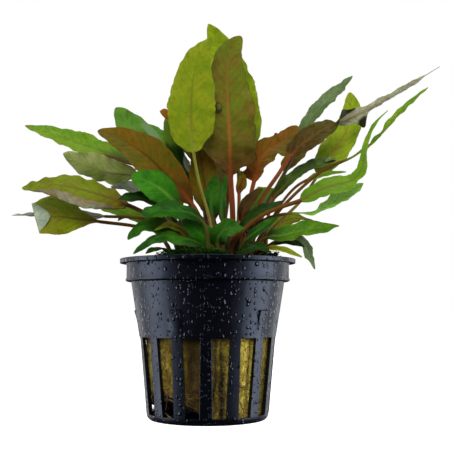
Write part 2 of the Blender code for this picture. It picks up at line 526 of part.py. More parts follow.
def add_loft(shape, rings, tip=None):
    """Skins rings of equal length, with a flat cap on the first and a cap or a point on the last."""
    rows = [[shape.verts.new(point * MM) for point in ring] for ring in rings]
    for low, high in zip(rows, rows[1:]):
        for here in range(len(low)):
            after = (here + 1) % len(low)
            shape.faces.new((low[here], low[after], high[after], high[here]))
    shape.faces.new(list(reversed(rows[0])))
    if tip is None:
        shape.faces.new(rows[-1])
        return
    point = shape.verts.new(tip * MM)
    for here in range(len(rows[-1])):
        after = (here + 1) % len(rows[-1])
        shape.faces.new((rows[-1][here], rows[-1][after], point))


def loft_object(name, rings, collection, material, tip=None):
    mesh = bpy.data.meshes.new(name)
    shape = bmesh.new()
    add_loft(shape, rings, tip)
    bmesh.ops.recalc_face_normals(shape, faces=shape.faces)
    shape.to_mesh(mesh)
    shape.free()
    smooth(mesh)
    return add_object(name, mesh, collection, material)


def wool_bottom(angle):
    """The height of the plug's bottom edge at an angle from the front: on the floor, except at the tear."""
    offset = (angle - WOOL_TEAR_ANGLE + 180.0) % 360.0 - 180.0
    share = min(1.0, abs(offset) / WOOL_TEAR_SPAN)
    return FLOOR_THICKNESS + GAP + WOOL_TEAR_HEIGHT * math.cos(math.pi / 2 * share) ** 2


def make_wool_plug(collection):
    rings = []
    for row in reversed(range(WOOL_ROWS + 1)):
        share = row / WOOL_ROWS
        ring = []
        for side in range(WOOL_SIDES):
            angle = side * 360.0 / WOOL_SIDES
            turn = math.radians(angle)
            height = BASE_CORNER_HEIGHT + share * (COLLAR_BOTTOM - BASE_CORNER_HEIGHT)
            radius = wall_radius(height) - WALL - WOOL_CLEARANCE
            radius -= WOOL_LUMP * (1.0 + math.sin(5 * turn + 3.1 * row) * math.cos(3 * turn - 1.7 * row)) / 2
            if row == WOOL_ROWS:
                radius -= WOOL_TOP_CHAMFER
            low = wool_bottom(angle)
            ring.append(round_the_pot(angle, radius, low + (WOOL_TOP - low) * share))
        rings.append(ring)
    foot = Vector((0.0, 0.0, FLOOR_THICKNESS + GAP))
    return loft_object("rockwool_plug", rings, collection, make_material("mineral_wool"), tip=foot)


def make_moss(name, first_angle, last_angle, collection, material):
    """A low uneven ridge on the wool that follows the rim between two angles."""
    foot = WOOL_TOP + GAP
    steps = max(4, round((last_angle - first_angle) / MOSS_STEP_ANGLE))
    rings = []
    for step in range(steps + 1):
        share = step / steps
        angle = first_angle + (last_angle - first_angle) * share
        ends = min(1.0, MOSS_END_SHARE + 3.0 * min(share, 1.0 - share))
        top = foot + (MOSS_TOP - foot) * ends * (1.0 - MOSS_UNEVEN * (1.0 + math.sin(2.3 * step)))
        half = MOSS_HALF_WIDTH * ends
        middle = (foot + top) / 2
        shoulder = top - MOSS_ROUNDING
        section = [(-half, foot), (-half * 0.95, middle), (-half * 0.45, shoulder), (half * 0.1, top),
                   (half * 0.6, shoulder), (half, middle), (half, foot)]
        rings.append([round_the_pot(angle, MOSS_RADIUS + out, height) for out, height in section])
    return loft_object(name, rings, collection, material)


def spaced(points):
    """The distance along a route at each of its points."""
    total = [0.0]
    for start, end in zip(points, points[1:]):
        total.append(total[-1] + (end - start).length)
    return total


def along(points, places, place):
    """A smooth curve through the points, read at a distance along it."""
    place = min(max(place, 0.0), places[-1])
    span = 0
    while span < len(points) - 2 and place > places[span + 1]:
        span += 1

    def slope(index):
        before = max(index - 1, 0)
        after = min(index + 1, len(points) - 1)
        return (points[after] - points[before]) / (places[after] - places[before])

    length = places[span + 1] - places[span]
    t = (place - places[span]) / length
    start = points[span] * (2 * t ** 3 - 3 * t ** 2 + 1) + slope(span) * length * (t ** 3 - 2 * t ** 2 + t)
    end = points[span + 1] * (3 * t ** 2 - 2 * t ** 3) + slope(span + 1) * length * (t ** 3 - t ** 2)
    return start + end


def leaf_width(data, share):
    """A blade's half-width at a share of the way from its base (0) to its tip (1)."""
    widest = data["widest"]
    bend = math.log(0.5) / math.log(widest)
    outline = math.sin(math.pi * share ** bend) ** data["blunt" if share < widest else "point"]
    strip = data["strip"] * min(1.0, STRIP_STARTS * share, STRIP_ENDS * (1.0 - share))
    return max(data["half_width"] * outline, strip)


def make_leaf(data, collection, material):
    base = Vector((*data["base"], WOOL_TOP + GAP))
    points = [base] + [seen_at(*place) for place in data["route"]]
    places = spaced(points)
    first = int(data["blade_from"])
    part = data["blade_from"] - first
    blade_start = places[first + 1] + (places[min(first + 2, len(places) - 1)] - places[first + 1]) * part
    end = places[-1]
    section = BROAD_SECTION if data["broad"] else SMALL_SECTION
    blade_stations = data["stations"] - STALK_STATIONS
    stops = [blade_start * index / STALK_STATIONS for index in range(STALK_STATIONS)]
    stops += [blade_start + (end - blade_start) * index / blade_stations for index in range(blade_stations)]

    rings = []
    for stop in stops:
        share = max(0.0, (stop - blade_start) / (end - blade_start))
        middle = along(points, places, stop)
        forward = (along(points, places, stop + 0.5) - along(points, places, stop - 0.5)).normalized()
        if stop == 0.0:
            forward = Vector((0.0, 0.0, 1.0))
        upper = Vector(data["upper_side"]).lerp(Vector(data["upper_side_at_tip"]), share)
        upper = (upper - forward * upper.dot(forward)).normalized()
        sideways = forward.cross(upper).normalized()
        wide = leaf_width(data, share)
        width = max(data["stalk"] * (1.0 - STALK_TAPER * share), wide)
        flat = min(1.0, max(wide / (3.0 * data["stalk"]), share / STALK_ENDS))
        thin = BLADE_HALF_THICKNESS + (TIP_HALF_THICKNESS - BLADE_HALF_THICKNESS) * share
        thickness = data["stalk"] + (thin - data["stalk"]) * flat
        rise = math.tan(math.radians(data["fold"])) * wide

        def point(position, side):
            ruffle = data["wave"] * math.sin(math.pi * share)
            ruffle *= math.sin(2 * math.pi * data["waves"] * share + (RUFFLE_SHIFT if position > 0 else 0.0))
            lift = (rise * abs(position) + ruffle * position ** 2) * flat
            lift += side * thickness * math.sqrt(max(0.0, 1.0 - position ** 2))
            return middle + sideways * (position * width) + upper * lift

        top = [point(position, 1) for position in section]
        under = [point(position, -1) for position in reversed(section[1:-1])]
        rings.append(top + under)
    return loft_object(data["name"], rings, collection, material, tip=along(points, places, end))


def main():
    clear_scene()
    parts = new_collection(COLLECTION_NAME)
    make_pot(parts)
    make_wool_plug(parts)
    moss = make_material("moss")
    for name, (first_angle, last_angle) in MOSS_TUFTS.items():
        make_moss(name, first_angle, last_angle, parts, moss)
    leaf_materials = {}
    for data in LEAVES:
        colour = data["colour"]
        if colour not in leaf_materials:
            leaf_materials[colour] = make_material(colour)
        make_leaf(data, parts, leaf_materials[colour])


main()
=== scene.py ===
# The looks of the potted cryptocoryne: fine leaves, pot, mineral wool, roots and moss around the CAD frame.
# Lengths are in millimetres and MM turns them into metres. The front is towards -Y.

import math
import random
from types import SimpleNamespace

import bpy
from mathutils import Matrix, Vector, noise


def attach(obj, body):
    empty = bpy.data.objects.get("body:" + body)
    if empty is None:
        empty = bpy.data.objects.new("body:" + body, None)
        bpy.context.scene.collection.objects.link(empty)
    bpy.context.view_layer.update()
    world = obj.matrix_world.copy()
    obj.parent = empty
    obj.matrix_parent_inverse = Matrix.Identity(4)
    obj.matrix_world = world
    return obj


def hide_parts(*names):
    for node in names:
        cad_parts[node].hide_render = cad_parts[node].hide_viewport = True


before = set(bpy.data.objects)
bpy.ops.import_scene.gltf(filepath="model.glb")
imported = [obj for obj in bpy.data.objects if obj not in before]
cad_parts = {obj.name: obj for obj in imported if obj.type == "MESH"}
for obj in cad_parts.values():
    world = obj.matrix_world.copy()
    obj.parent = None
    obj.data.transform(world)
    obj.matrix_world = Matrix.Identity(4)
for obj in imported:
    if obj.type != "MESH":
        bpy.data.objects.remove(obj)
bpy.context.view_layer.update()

MM = 0.001
BODY = "root"

# Camera, as the photograph was taken
EYE_DISTANCE = 265.0
EYE_HEIGHT = 35.1
AIM = (5.8, 0.0, 60.8)
LENS = 65.8
SENSOR = 36.0

# Pot, with the values of the CAD source
POT_HEIGHT = 50.0
LIP_RADIUS = 28.0
LIP_DEPTH = 1.4
COLLAR_RADIUS = 25.9
COLLAR_BOTTOM = 42.8
BODY_TOP_RADIUS = 24.4
BODY_KNEE_RADIUS = 21.45
BODY_KNEE_HEIGHT = 24.4
BODY_BOTTOM_RADIUS = 19.4
BASE_RADIUS = 18.2
BASE_CORNER_HEIGHT = 2.5
BASE_CORNER = 0.7
WALL = 1.1
FLOOR_THICKNESS = 1.4
SLOT_COUNT = 15
SLOT_FIRST_ANGLE = 10.5
SLOT_BOTTOM = 2.0
SLOT_TOP = 25.5
SLOT_WIDTH_TOP = 5.6
SLOT_WIDTH_BOTTOM = 4.2
DRAIN_COUNT = 5
DRAIN_INNER_RADIUS = 7.0
DRAIN_OUTER_RADIUS = 14.5
DRAIN_WIDTH = 3.4
LUG_COUNT = 5
LUG_FIRST_ANGLE = -25.5
LUG_TOP = 34.0
LUG_HEIGHT = 6.0
LUG_PROUD = 0.7

# Mineral wool and moss
WOOL_TOP = 44.0
WOOL_TEAR_ANGLE = -55.0
WOOL_TEAR_SPAN = 70.0
WOOL_TEAR_HEIGHT = 8.0
MOSS_RADIUS = 20.4
MOSS_HALF_WIDTH = 2.2
MOSS_TOP = 52.8
MOSS_DENSE_FROM = 49.4
MOSS_REACH = 23.4
MOSS_SHOOTS_PER_DEGREE = 11.0
MOSS_TUFTS = {
    "moss_front": (-46.0, 20.0),
    "moss_right": (60.5, 71.5),
}
GAP = 0.3

# What a leaf is unless its own call says otherwise. A share goes along the blade, from 0 at its base to 1 at
# its tip. Side 1 is to the left, seen from the base with the upper side up, and side -1 to the right.
USUAL = dict(
    widest=0.42,  # share where the blade is widest
    fold=12.0,  # degrees by which its margins are lifted
    wave=0.0, waves=2.0,  # height and number of the ruffle's waves at the margins
    stalk=0.55,  # radius of the stalk
    broad=False,  # whether the mesh is finer across
    blunt=0.7,  # a smaller blunt makes the blade's base rounder, and a smaller point its tip
    strip=0.0,  # least half-width, of a blade that narrows to a long strip
    rib=0.75,  # how strongly the midrib shows
    relief=1.0,  # how strong the fine grain of the skin is, less on narrow leaves
    ragged=0.5,  # how uneven the margins are
    ripple=0.3, ripple_length=5.5,  # small waves along the margins
    pucker=0.16, spacing=3.0,  # swelling between the side veins, and the distance from vein to vein
    crumple=0.0,  # relief near the blade's base
    folded_tip=0.0,  # length of tip that lies folded back on the blade
    twist=(0.0, 1.0),  # share from which and to which the blade turns to its side at the tip
    lobes=(),  # bulges and notches of the margins: (share, side, height, spread)
    curls=(),  # margins that roll up over the upper side: (side, start across, degrees, from share, to share)
    spots=(),  # patches of another colour: (along, across, half length, half width, colour)
)
LEAVES = []

# The parts of a leaf that have a colour: the upper side, mottled with a second colour; the blade near the
# stalk, darker there partly in its own colour and partly as painted shade; the underside, mottled too; the
# midrib, the side veins and the margin; the stalk under the blade and at the wool
PARTS = ("leaf", "second", "base", "under", "second_under", "rib", "vein", "edge", "stalk", "foot")
PALETTES = {}


def tone(red, green, blue):
    """A linear colour from the numbers of a screen colour, 0 to 255."""
    return tuple(((part / 255 + 0.055) / 1.055) ** 2.4 if part > 10 else part / 255 / 12.92
                 for part in (red, green, blue))


def palette(name, *colours):
    """Notes the screen colours of a kind of leaf, in the order of PARTS."""
    PALETTES[name] = {part: tone(*colour) for part, colour in zip(PARTS, colours)}


def leaf(name, colour, base, route, blade_from, half_width, upper_side, upper_side_at_tip=None, **special):
    """Notes one leaf with its stalk, in the order of the CAD source.

    base is where the stalk leaves the wool (x, y), route is the line that the stalk and the midrib
    follow as (across, up, depth), and the blade begins at point number blade_from of the route.
    upper_side is the direction that the blade's upper side faces. Its colour is also its palette, unless a
    palette is among the special values. The others are those of USUAL, and point.
    """
    values = {**USUAL, "palette": colour, **special}
    values.setdefault("point", values["blunt"])
    LEAVES.append(SimpleNamespace(
        name=name, colour=colour, base=base, route=route, blade_from=blade_from, half_width=half_width,
        upper_side=upper_side, upper_side_at_tip=upper_side_at_tip or upper_side, **values))


# Tall leaves in the middle
leaf("tall_left", "yellow_green", (3, -9.5), [(2.3, 52.6, -9.5), (0.5, 63, -10), (-3, 75.4, -10.5),
     (-4.7, 84.8, -11), (-5.6, 98, -12), (-4.9, 109.5, -12), (-2.9, 117.3, -11.5), (1.5, 123.6, -10.5)], 3,
     7.5, (0.1, 1, 0), widest=0.36, fold=10, wave=0.5, stalk=0.5, broad=True, blunt=0.5, point=0.8,
     rib=0.55, ragged=0.7, ripple=0.35, ripple_length=4.6, pucker=0.12, lobes=[(0.06, -1, -1.8, 0.06),
     (0.04, 1, -1.4, 0.04)], spots=[(47, -0.5, 3, 1.6, (98, 84, 28))])
leaf("tall_centre", "olive_brown", (8.5, -3), [(8.2, 53, -3), (7.9, 66, -3), (7.2, 77.4, -2.5), (7, 88, -2),
     (6.5, 99, -1.5), (6.1, 110, -1.5), (7.3, 118, -1.5), (10.8, 123.8, -2)], 2, 9.3, (0, -1, 0.1),
     widest=0.22, fold=14, wave=1.2, waves=2.5, stalk=0.9, broad=True, blunt=0.8, point=0.55, ragged=0.7,
     ripple=0.4, ripple_length=6, pucker=0.22, crumple=2, lobes=[(0.05, -1, -3.6, 0.07),
     (0.2, -1, 0.9, 0.05), (0.035, 1, -3.4, 0.026), (0.1, 1, 0.7, 0.04)], curls=[(-1, 0.88, 110, 0.5, 0.92),
     (1, 0.86, 130, 0.06, 0.4), (-1, 0.84, 130, 0.06, 0.3)], spots=[(22.1, -3.3, 2.2, 1.5, (50, 50, 16)),
     (22.7, -2.9, 1.2, 0.8, (88, 90, 38))])
leaf("tall_back", "yellow_green", (9, 7), [(9, 52, 7), (10, 68, 9), (9.8, 80, 11), (9.5, 93, 12),
     (7.7, 105, 12), (4.4, 118, 11), (0, 127.9, 10)], 2, 8.4, (0, -1, 0.15), widest=0.4, fold=10, wave=0.5,
     stalk=0.6, broad=True, rib=0.5, ragged=0.7, ripple=0.4, ripple_length=4.4,
     spots=[(60, -1, 4, 2, (124, 104, 26))])

# Left side
# Its spots paint a margin folded over: a patch of the underside's grey-green, and a dark line along the fold
# as painted shade
leaf("back_left_upper", "blue_green", (-2, 8), [(-1.5, 55, 9), (-6, 68, 11), (-10.5, 76.5, 14),
     (-16, 83.5, 16.5), (-21.5, 89, 19), (-26, 94.4, 21), (-30, 99.6, 22)], 2, 8, (0.35, -0.8, 0.5),
     widest=0.45, fold=10, wave=0.5, broad=True, blunt=0.6, rib=0.5, ragged=0.6,
     lobes=[(0.5, 1, 0.8, 0.12)], spots=[(20.8, 4.8, 6, 1.7, (92, 120, 74)),
     (19, 2.8, 4, 0.5, (52, 84, 30))])
leaf("broad_brown_left", "brown", (0.5, -1.5), [(0.3, 55, -1.5), (-3.4, 65.2, -3), (-7.1, 70.3, -4),
     (-13.2, 77, -5), (-20.3, 83.8, -6), (-28.2, 88.8, -7), (-36, 91.8, -8)], 1.5, 6.4, (-0.3, -0.8, 0.55),
     widest=0.5, wave=0.6, stalk=0.6, broad=True, blunt=0.65, rib=0.85, pucker=0.22, crumple=0.5)
leaf("long_upper_left", "light_green", (-4.5, 4), [(-4.5, 55, 4), (-9.5, 68, 4), (-17, 77, 4),
     (-24, 81, 4.5), (-32, 84.2, 5), (-41, 87.2, 6), (-50, 90.6, 7), (-59.5, 93.4, 8)], 2.9, 4.8,
     (-0.2, -0.7, 0.7), widest=0.46, fold=10, wave=0.5, stalk=0.6, broad=True, rib=0.5, ragged=0.9,
     ripple=0.35, ripple_length=6.5, lobes=[(0.14, 1, 1.6, 0.05)], spots=[(6, -1.6, 6, 1.1, (92, 60, 14)),
     (41, 0, 2.4, 2, (112, 100, 28))])
leaf("grey_green_left", "grey_green", (-5, 0.5), [(-5, 54, 0.5), (-10, 62, 0.5), (-17, 71.6, 0),
     (-24, 77.2, -0.5), (-33, 78.4, -0.5), (-41, 81, 0), (-47, 84.3, 0.5)], 2.8, 5.4, (0.1, 0.7, 0.7),
     widest=0.5, fold=8, wave=0.4, broad=True, rib=0.6, ragged=0.8, ripple=0.4, pucker=0.3, spacing=2.4)
leaf("small_grey_left", "grey_green", (-8, 5.5), [(-8, 54, 6), (-12, 62, 8), (-18, 69, 10), (-25, 73.2, 11),
     (-31.5, 73.4, 12)], 2, 3.6, (0, 0.5, 0.85), fold=8, palette="silver", rib=0.3, ragged=0.8)
leaf("olive_left", "olive", (-4.5, -8.5), [(-5, 54, -9), (-10.5, 60, -9.5), (-17.5, 63.6, -9.5),
     (-26, 67.6, -9.5), (-35, 70.8, -10.5), (-44, 73.2, -11.5), (-53, 74.2, -12.5), (-60, 72.9, -13)], 3,
     7.2, (-0.1, -0.8, 0.65), widest=0.43, fold=-16, wave=0.5, stalk=0.65, broad=True,
     palette="olive_rolled", ragged=0.7, ripple=0.5, ripple_length=4.2, lobes=[(0.45, -1, 3.8, 0.3)],
     curls=[(-1, 0.56, 140, 0.02, 0.97)])
leaf("lower_left", "olive", (-7.5, -2.5), [(-7.5, 52.5, -2.5), (-13, 57.5, -2.5), (-22, 60.4, -2.8),
     (-34, 62, -3), (-41, 62.8, -3.5), (-48.5, 63.6, -4.5), (-55.8, 63, -7)], 3, 7.2, (-0.2, -0.85, 0.5),
     widest=0.62, fold=6, wave=0.7, broad=True, blunt=0.9, point=0.7, folded_tip=4.6,
     lobes=[(0.6, 1, 1.1, 0.3), (0.6, -1, 1.1, 0.3)])
leaf("edge_on_left", "grey_green", (-9.5, 2), [(-9.5, 54, 2), (-13, 60.4, 3), (-21, 63.2, 4),
     (-33, 63.8, 5), (-47, 64.2, 6), (-63, 64.1, 7)], 3, 4.6, (0, 0.26, 1), fold=6, stalk=0.5,
     palette="silver", lobes=[(0.8, 1, -1.2, 0.2), (0.8, -1, -1.2, 0.2)])
leaf("bright_left", "bright_green", (-1.5, -11.5), [(-1.6, 52.6, -12.5), (-5.5, 60.6, -13.5),
     (-10, 67.4, -14), (-14.2, 71.9, -14.3), (-18.8, 74.8, -14.5), (-24.9, 77, -14.5)], 2, 4.7,
     (-0.5, -0.75, 0.5), widest=0.52, fold=10, wave=0.4, broad=True, blunt=0.6, rib=0.9, ripple=0.35,
     curls=[(1, 0.8, 70, 0.1, 0.7)])
leaf("dark_left", "dark_green", (-6.5, -5.5), [(-6.8, 54, -5.8), (-10.5, 62, -7.6), (-15, 67, -10.2),
     (-21, 69.5, -12.4), (-29.3, 69.4, -14)], 1.3, 4.4, (0, -0.5, 0.85), fold=6, wave=0.3,
     curls=[(1, 0.5, 120, 0.1, 0.97)])
leaf("across_left", "bright_green", (0.2, -14.8), [(0.2, 53.5, -16.4), (-1.4, 61.5, -18), (-6, 64.9, -18.6),
     (-12, 65.5, -19), (-17, 65.5, -19.4), (-21.5, 64.6, -19.6)], 1.1, 4.6, (-0.1, -0.65, 0.8), widest=0.55,
     fold=8, wave=0.6, broad=True, blunt=0.55, palette="deep_green", rib=0.5, ragged=0.7, ripple=0.4,
     ripple_length=4.4)
leaf("low_left", "green", (-9.5, -9), [(-9.3, 53, -11), (-13, 59, -13), (-18, 60.6, -13.7),
     (-22, 59.8, -14), (-25.8, 56.3, -14.5)], 0.4, 3.8, (-0.2, -0.6, 0.75), fold=8, wave=0.3, blunt=0.6)
leaf("small_low_left", "olive", (-4.6, -12.4), [(-5, 52.3, -13), (-8, 58.6, -13), (-12.5, 60.8, -14.4),
     (-17.2, 59.4, -16)], 0.8, 2, (-0.2, -0.6, 0.75), fold=8, stalk=0.4)
leaf("curved_left", "green", (-1.4, -14.6), [(-1.2, 52.5, -17), (-3.4, 55.4, -19), (-8, 56.8, -20.4),
     (-14, 57.6, -21.4), (-20, 55.4, -22.2), (-24, 51.7, -22.5)], 0.1, 3.3, (-0.2, -0.55, 0.8), fold=-10,
     wave=0.2, blunt=0.6)
leaf("rim_left", "bright_green", (-12.5, -7), [(-12.4, 51.6, -7.5), (-14.5, 53.4, -10.5), (-17, 53.2, -14),
     (-20, 51.9, -17)], 0.8, 1.7, (0, -0.5, 0.85), fold=8, stalk=0.35)

# Front
leaf("green_front", "green", (4.2, -12.6), [(2.6, 52.6, -14.2), (0.2, 55.6, -14.8), (-3, 58.9, -15),
     (-8.2, 62.4, -15.2)], 0.1, 3.3, (-0.2, -0.9, 0.4), fold=8, wave=0.3, stalk=0.5, blunt=0.6,
     palette="deep_green")
leaf("upright_front", "green", (4, -6.6), [(3.2, 54, -6.8), (1.4, 63, -7.4), (0.9, 69, -7.6),
     (1.7, 73.4, -7.6), (2.8, 77.6, -7.6)], 1, 2.7, (0.1, -1, 0.1), fold=10)
leaf("narrow_upright", "green", (6.8, -7), [(6.2, 54, -6.8), (4.4, 64, -6), (4.3, 69.5, -5.4),
     (5, 73.8, -5), (5.8, 77.9, -4.8)], 0.8, 1.6, (0.3, -1, 0.1), fold=10, stalk=0.45)
leaf("short_right_front", "green", (6.5, -12.4), [(3.6, 53, -15.2), (3.4, 57.2, -17.2), (6.2, 59.9, -18.2),
     (12, 59.9, -18.8)], 0.4, 3.9, (-0.3, -0.8, 0.55), widest=0.34, fold=8, wave=0.3, stalk=0.5, point=0.85,
     palette="green", ragged=0.6, crumple=0.4)
leaf("tan_front", "tan", (13.3, -10.9), [(13.2, 52.4, -11.4), (12.8, 55.2, -11.8), (13.8, 58.2, -12)], 0.4,
     1.5, (0.2, -1, 0.3), fold=8, stalk=0.4)
leaf("dark_front", "dark_green", (10, -12.8), [(9.2, 51.4, -15.9), (12.4, 53.2, -17.6), (16, 54.2, -17.8),
     (20, 52.4, -18)], 0.2, 2.5, (0.1, -0.6, 0.8), fold=8, stalk=0.4, blunt=0.6)

# Middle
leaf("brown_behind", "brown", (4.5, 1.5), [(4, 54, 1.5), (1.4, 65, 1.5), (-1.2, 75, 2), (-2.4, 83, 2.2),
     (-4.2, 91.5, 2.5)], 0.8, 4.7, (0.1, -1, 0.1), fold=10, wave=0.4, ragged=0.9, crumple=0.9)
leaf("dark_behind", "dark_green", (-3.2, 2.6), [(-3.4, 55, 2.8), (-4.5, 66, 3.6), (-7.5, 76, 4.4),
     (-11, 86, 4.4), (-14, 96, 4.2)], 1.4, 3.7, (0.2, -0.95, 0.2), widest=0.5, fold=8, wave=0.4, stalk=0.45,
     ragged=1.1, crumple=1.6, curls=[(-1, 0.6, 140, 0.1, 0.55), (1, 0.6, 140, 0.3, 0.8)],
     spots=[(26, 0, 8, 4.5, (78, 104, 26)), (11, 2.4, 3, 1.2, (130, 138, 118))])
leaf("small_brown", "brown", (12.4, -1), [(11.8, 54, -1), (10.3, 66, -1), (10, 72.4, -1), (11, 75.6, -1),
     (10.7, 79, -1)], 1.8, 1.5, (0.2, -1, 0.2), fold=8, stalk=0.4)
leaf("rolled_tip", "brown", (0.5, 4.5), [(0, 55, 4.8), (-1.6, 72, 6.5), (-5.2, 84, 7.8), (-10, 92.6, 8.4),
     (-15.4, 98.8, 8.6)], 1.8, 3.2, (0.4, -0.8, 0.4), fold=24, wave=0.3, stalk=0.5, blunt=0.6, point=0.3,
     palette="orange")

# Right side
leaf("brown_right", "brown", (11.5, 3), [(11, 54, 3), (12.6, 65, 3.4), (14.9, 75.4, 4), (16.8, 82, 4.6),
     (20, 86, 5.4), (24.4, 88.2, 6), (29.2, 93.8, 7)], 2, 4.2, (-0.25, -0.95, 0.3), fold=10, wave=0.8,
     stalk=0.7, broad=True, blunt=0.5, palette="rust", ragged=1, ripple=0.9, ripple_length=7, crumple=1.2,
     lobes=[(0.06, -1, 2.6, 0.05), (0.36, -1, 1.4, 0.07), (0.2, 1, -1.4, 0.07), (0.6, 1, 1.2, 0.07),
     (0.82, -1, 1.2, 0.05)])
leaf("long_upper_right", "brown", (14, -3.5), [(13.2, 56, -3.6), (17.2, 69, -3.8), (23, 78, -4),
     (27.5, 84.4, -4.2), (33, 89.4, -4.4), (40, 93.8, -4.8), (50, 98.2, -5.5), (62, 105, -6.5),
     (76.5, 113.9, -8)], 2.9, 5, (-0.5, -0.7, 0.5), (-0.4, 0.8, 0.5), widest=0.15, fold=10, wave=0.6,
     stalk=0.65, broad=True, strip=1, point=3, palette="greyed_strip", rib=0.35, relief=0.35, ragged=0.9,
     crumple=0.8, twist=(0.28, 0.4), lobes=[(0.37, 1, 1.8, 0.04), (0.47, -1, 4.2, 0.03),
     (0.14, 1, 1.2, 0.08), (0.6, 1, 0.3, 0.12), (0.6, -1, 0.2, 0.12), (0.94, 1, -0.6, 0.08),
     (0.94, -1, -0.6, 0.08)], spots=[(22, 3, 5, 1.7, (30, 32, 12)), (27.4, -4.2, 3.4, 2.7, (40, 38, 12))])
leaf("grey_green_right", "grey_green", (13, 6.5), [(13, 56, 7), (20, 70, 9), (24.4, 77, 10), (28.4, 86, 11),
     (33, 95.6, 12), (41, 104.2, 13), (47.5, 110.6, 14)], 3.2, 3.4, (-0.4, -0.7, 0.6), widest=0.5, fold=10,
     wave=0.3, stalk=0.5, broad=True, palette="pale_bluish", rib=0.4, relief=0.6, ragged=0.9, ripple=0.35)
leaf("bright_right", "bright_green", (16, 5.2), [(16, 54, 5.4), (19.5, 58.6, 5.6), (25, 64, 5.8),
     (30, 69, 6), (35.4, 77, 6.8), (39.4, 83, 7.4), (42.8, 88, 7.6), (45.8, 93.2, 7.6), (47, 99, 7.6),
     (46.5, 105.1, 7.6)], 4.1, 5.2, (-0.4, -0.9, 0.2), widest=0.4, fold=8, wave=0.4, stalk=0.5, broad=True,
     blunt=0.6, palette="lime", rib=0.7, ragged=0.6)
leaf("small_olive_right", "olive", (17, -0.5), [(17, 54, -0.5), (21.5, 64.5, -0.6), (28, 73.2, -0.6),
     (35, 77, -0.4), (45, 78.6, 0)], 2.6, 2.2, (-0.2, -0.5, 0.8), fold=10, stalk=0.45,
     palette="light_green", ragged=0.9)
leaf("curled_right", "light_green", (7.8, -9.5), [(7.2, 53.6, -10.2), (11, 59, -11.4), (16.4, 63.7, -12.4),
     (23, 66.8, -13.2), (30, 69.2, -13.8), (38, 73.2, -14.8), (46.8, 75.8, -15.6), (50.3, 80, -16),
     (51.4, 87.6, -16), (54.6, 94.6, -15.6), (59, 99.1, -15)], 4, 3.6, (-0.1, -0.75, 0.6),
     (-0.8, -0.5, 0.2), widest=0.24, fold=8, wave=0.3, stalk=0.65, broad=True, strip=0.95, point=2.4,
     rib=0.6, relief=0.4, ragged=0.8, ripple=0.4)
leaf("high_right", "green", (15, -7), [(15.4, 54, -7.3), (22, 64.5, -7.8), (30, 73, -8), (38, 79.4, -8.2),
     (48, 84, -8.6), (56, 90.4, -9), (64, 99.6, -9.6), (72.5, 106.9, -10.5)], 3.5, 1.7, (-0.5, -0.5, 0.7),
     (-0.7, -0.5, 0.5), widest=0.6, wave=0.3, stalk=0.5, broad=True, strip=0.5, palette="light_green",
     rib=0.3, ragged=0.8, ripple=0.5)
leaf("dark_folded_right", "dark_green", (18.8, 1.7), [(18.6, 56, 2), (20.5, 68, 2.6), (25, 74, 3),
     (31, 78.6, 3.2), (41.6, 82.6, 3.4)], 1.2, 3.2, (-0.3, -0.6, 0.7), fold=20, wave=0.3, point=0.4,
     palette="folded_green", ragged=0.8, crumple=0.8, folded_tip=3.4)
leaf("light_green_right", "light_green", (11.8, -7), [(11.8, 54, -7.6), (15, 60.6, -8.6), (20, 63.6, -9.4),
     (27, 65, -10), (35, 65.4, -10.4), (42, 69.4, -10.6), (50.5, 74.9, -10.8)], 2.6, 3.5, (-0.1, -0.6, 0.8),
     widest=0.7, fold=14, wave=0.3, stalk=0.5, broad=True, blunt=1.2, point=0.6, palette="bluish_leaf",
     rib=0.4, ragged=0.9, ripple=0.4)
leaf("low_right", "green", (14.2, -9.2), [(14, 53.2, -10.6), (19, 57, -12), (24, 57.6, -13),
     (31, 59.4, -14), (42.5, 60.9, -15)], 0.9, 4.6, (-0.1, -0.6, 0.8), fold=10, wave=0.4, broad=True,
     palette="meadow", rib=0.5, ragged=0.7, ripple=0.4)
leaf("dark_right", "dark_green", (9.6, -5.6), [(9.2, 54.6, -6.6), (11.6, 60.2, -8), (15.4, 64.4, -8.9),
     (19.5, 66.9, -9.3), (24.5, 69, -9.6)], 0.5, 2.8, (-0.4, -0.7, 0.6), fold=10, wave=0.3)
leaf("brown_mid_right", "brown", (14.5, 0), [(14.2, 55, -0.4), (11.2, 62, -3), (12, 66.6, -4.5),
     (14.4, 70, -5.2), (17.6, 73, -5.6)], 1, 2.5, (-0.4, -0.8, 0.4), fold=8, stalk=0.4, blunt=0.6,
     palette="dark_brown", ragged=0.8, crumple=0.8)
leaf("bluish_right", "blue_green", (11, -10.4), [(10.6, 52.2, -11.8), (12.4, 56.2, -14.8),
     (17.4, 60.2, -17), (22.8, 63.9, -17.6)], 0.9, 2.3, (-0.4, -0.7, 0.6), fold=8, palette="green",
     ragged=0.6)
leaf("low_olive_right", "olive", (15.6, -11), [(15.8, 51.8, -13), (19.4, 53.6, -15), (24.4, 53, -17),
     (30.4, 50.7, -19)], 0.7, 1.9, (0, -0.5, 0.85), fold=8, stalk=0.4)
leaf("low_dark_right", "dark_green", (17.4, -4.8), [(18.2, 52.6, -5.8), (22, 55.2, -7.8), (26, 55.7, -9.6),
     (31.4, 54.1, -10.4)], 0.7, 2.6, (0.1, -0.5, 0.85), fold=8, stalk=0.4)
leaf("hanging_right", "grey_green", (18, -2.8), [(18.4, 53, -3.2), (24.6, 56.8, -4.6), (30.2, 56, -5.6),
     (32.4, 51.6, -6.2), (34.4, 46.8, -6.6)], 1.4, 2.3, (0.6, -0.8, 0.3), fold=10, stalk=0.4,
     palette="pale_bluish", ragged=1, ripple=0.5)

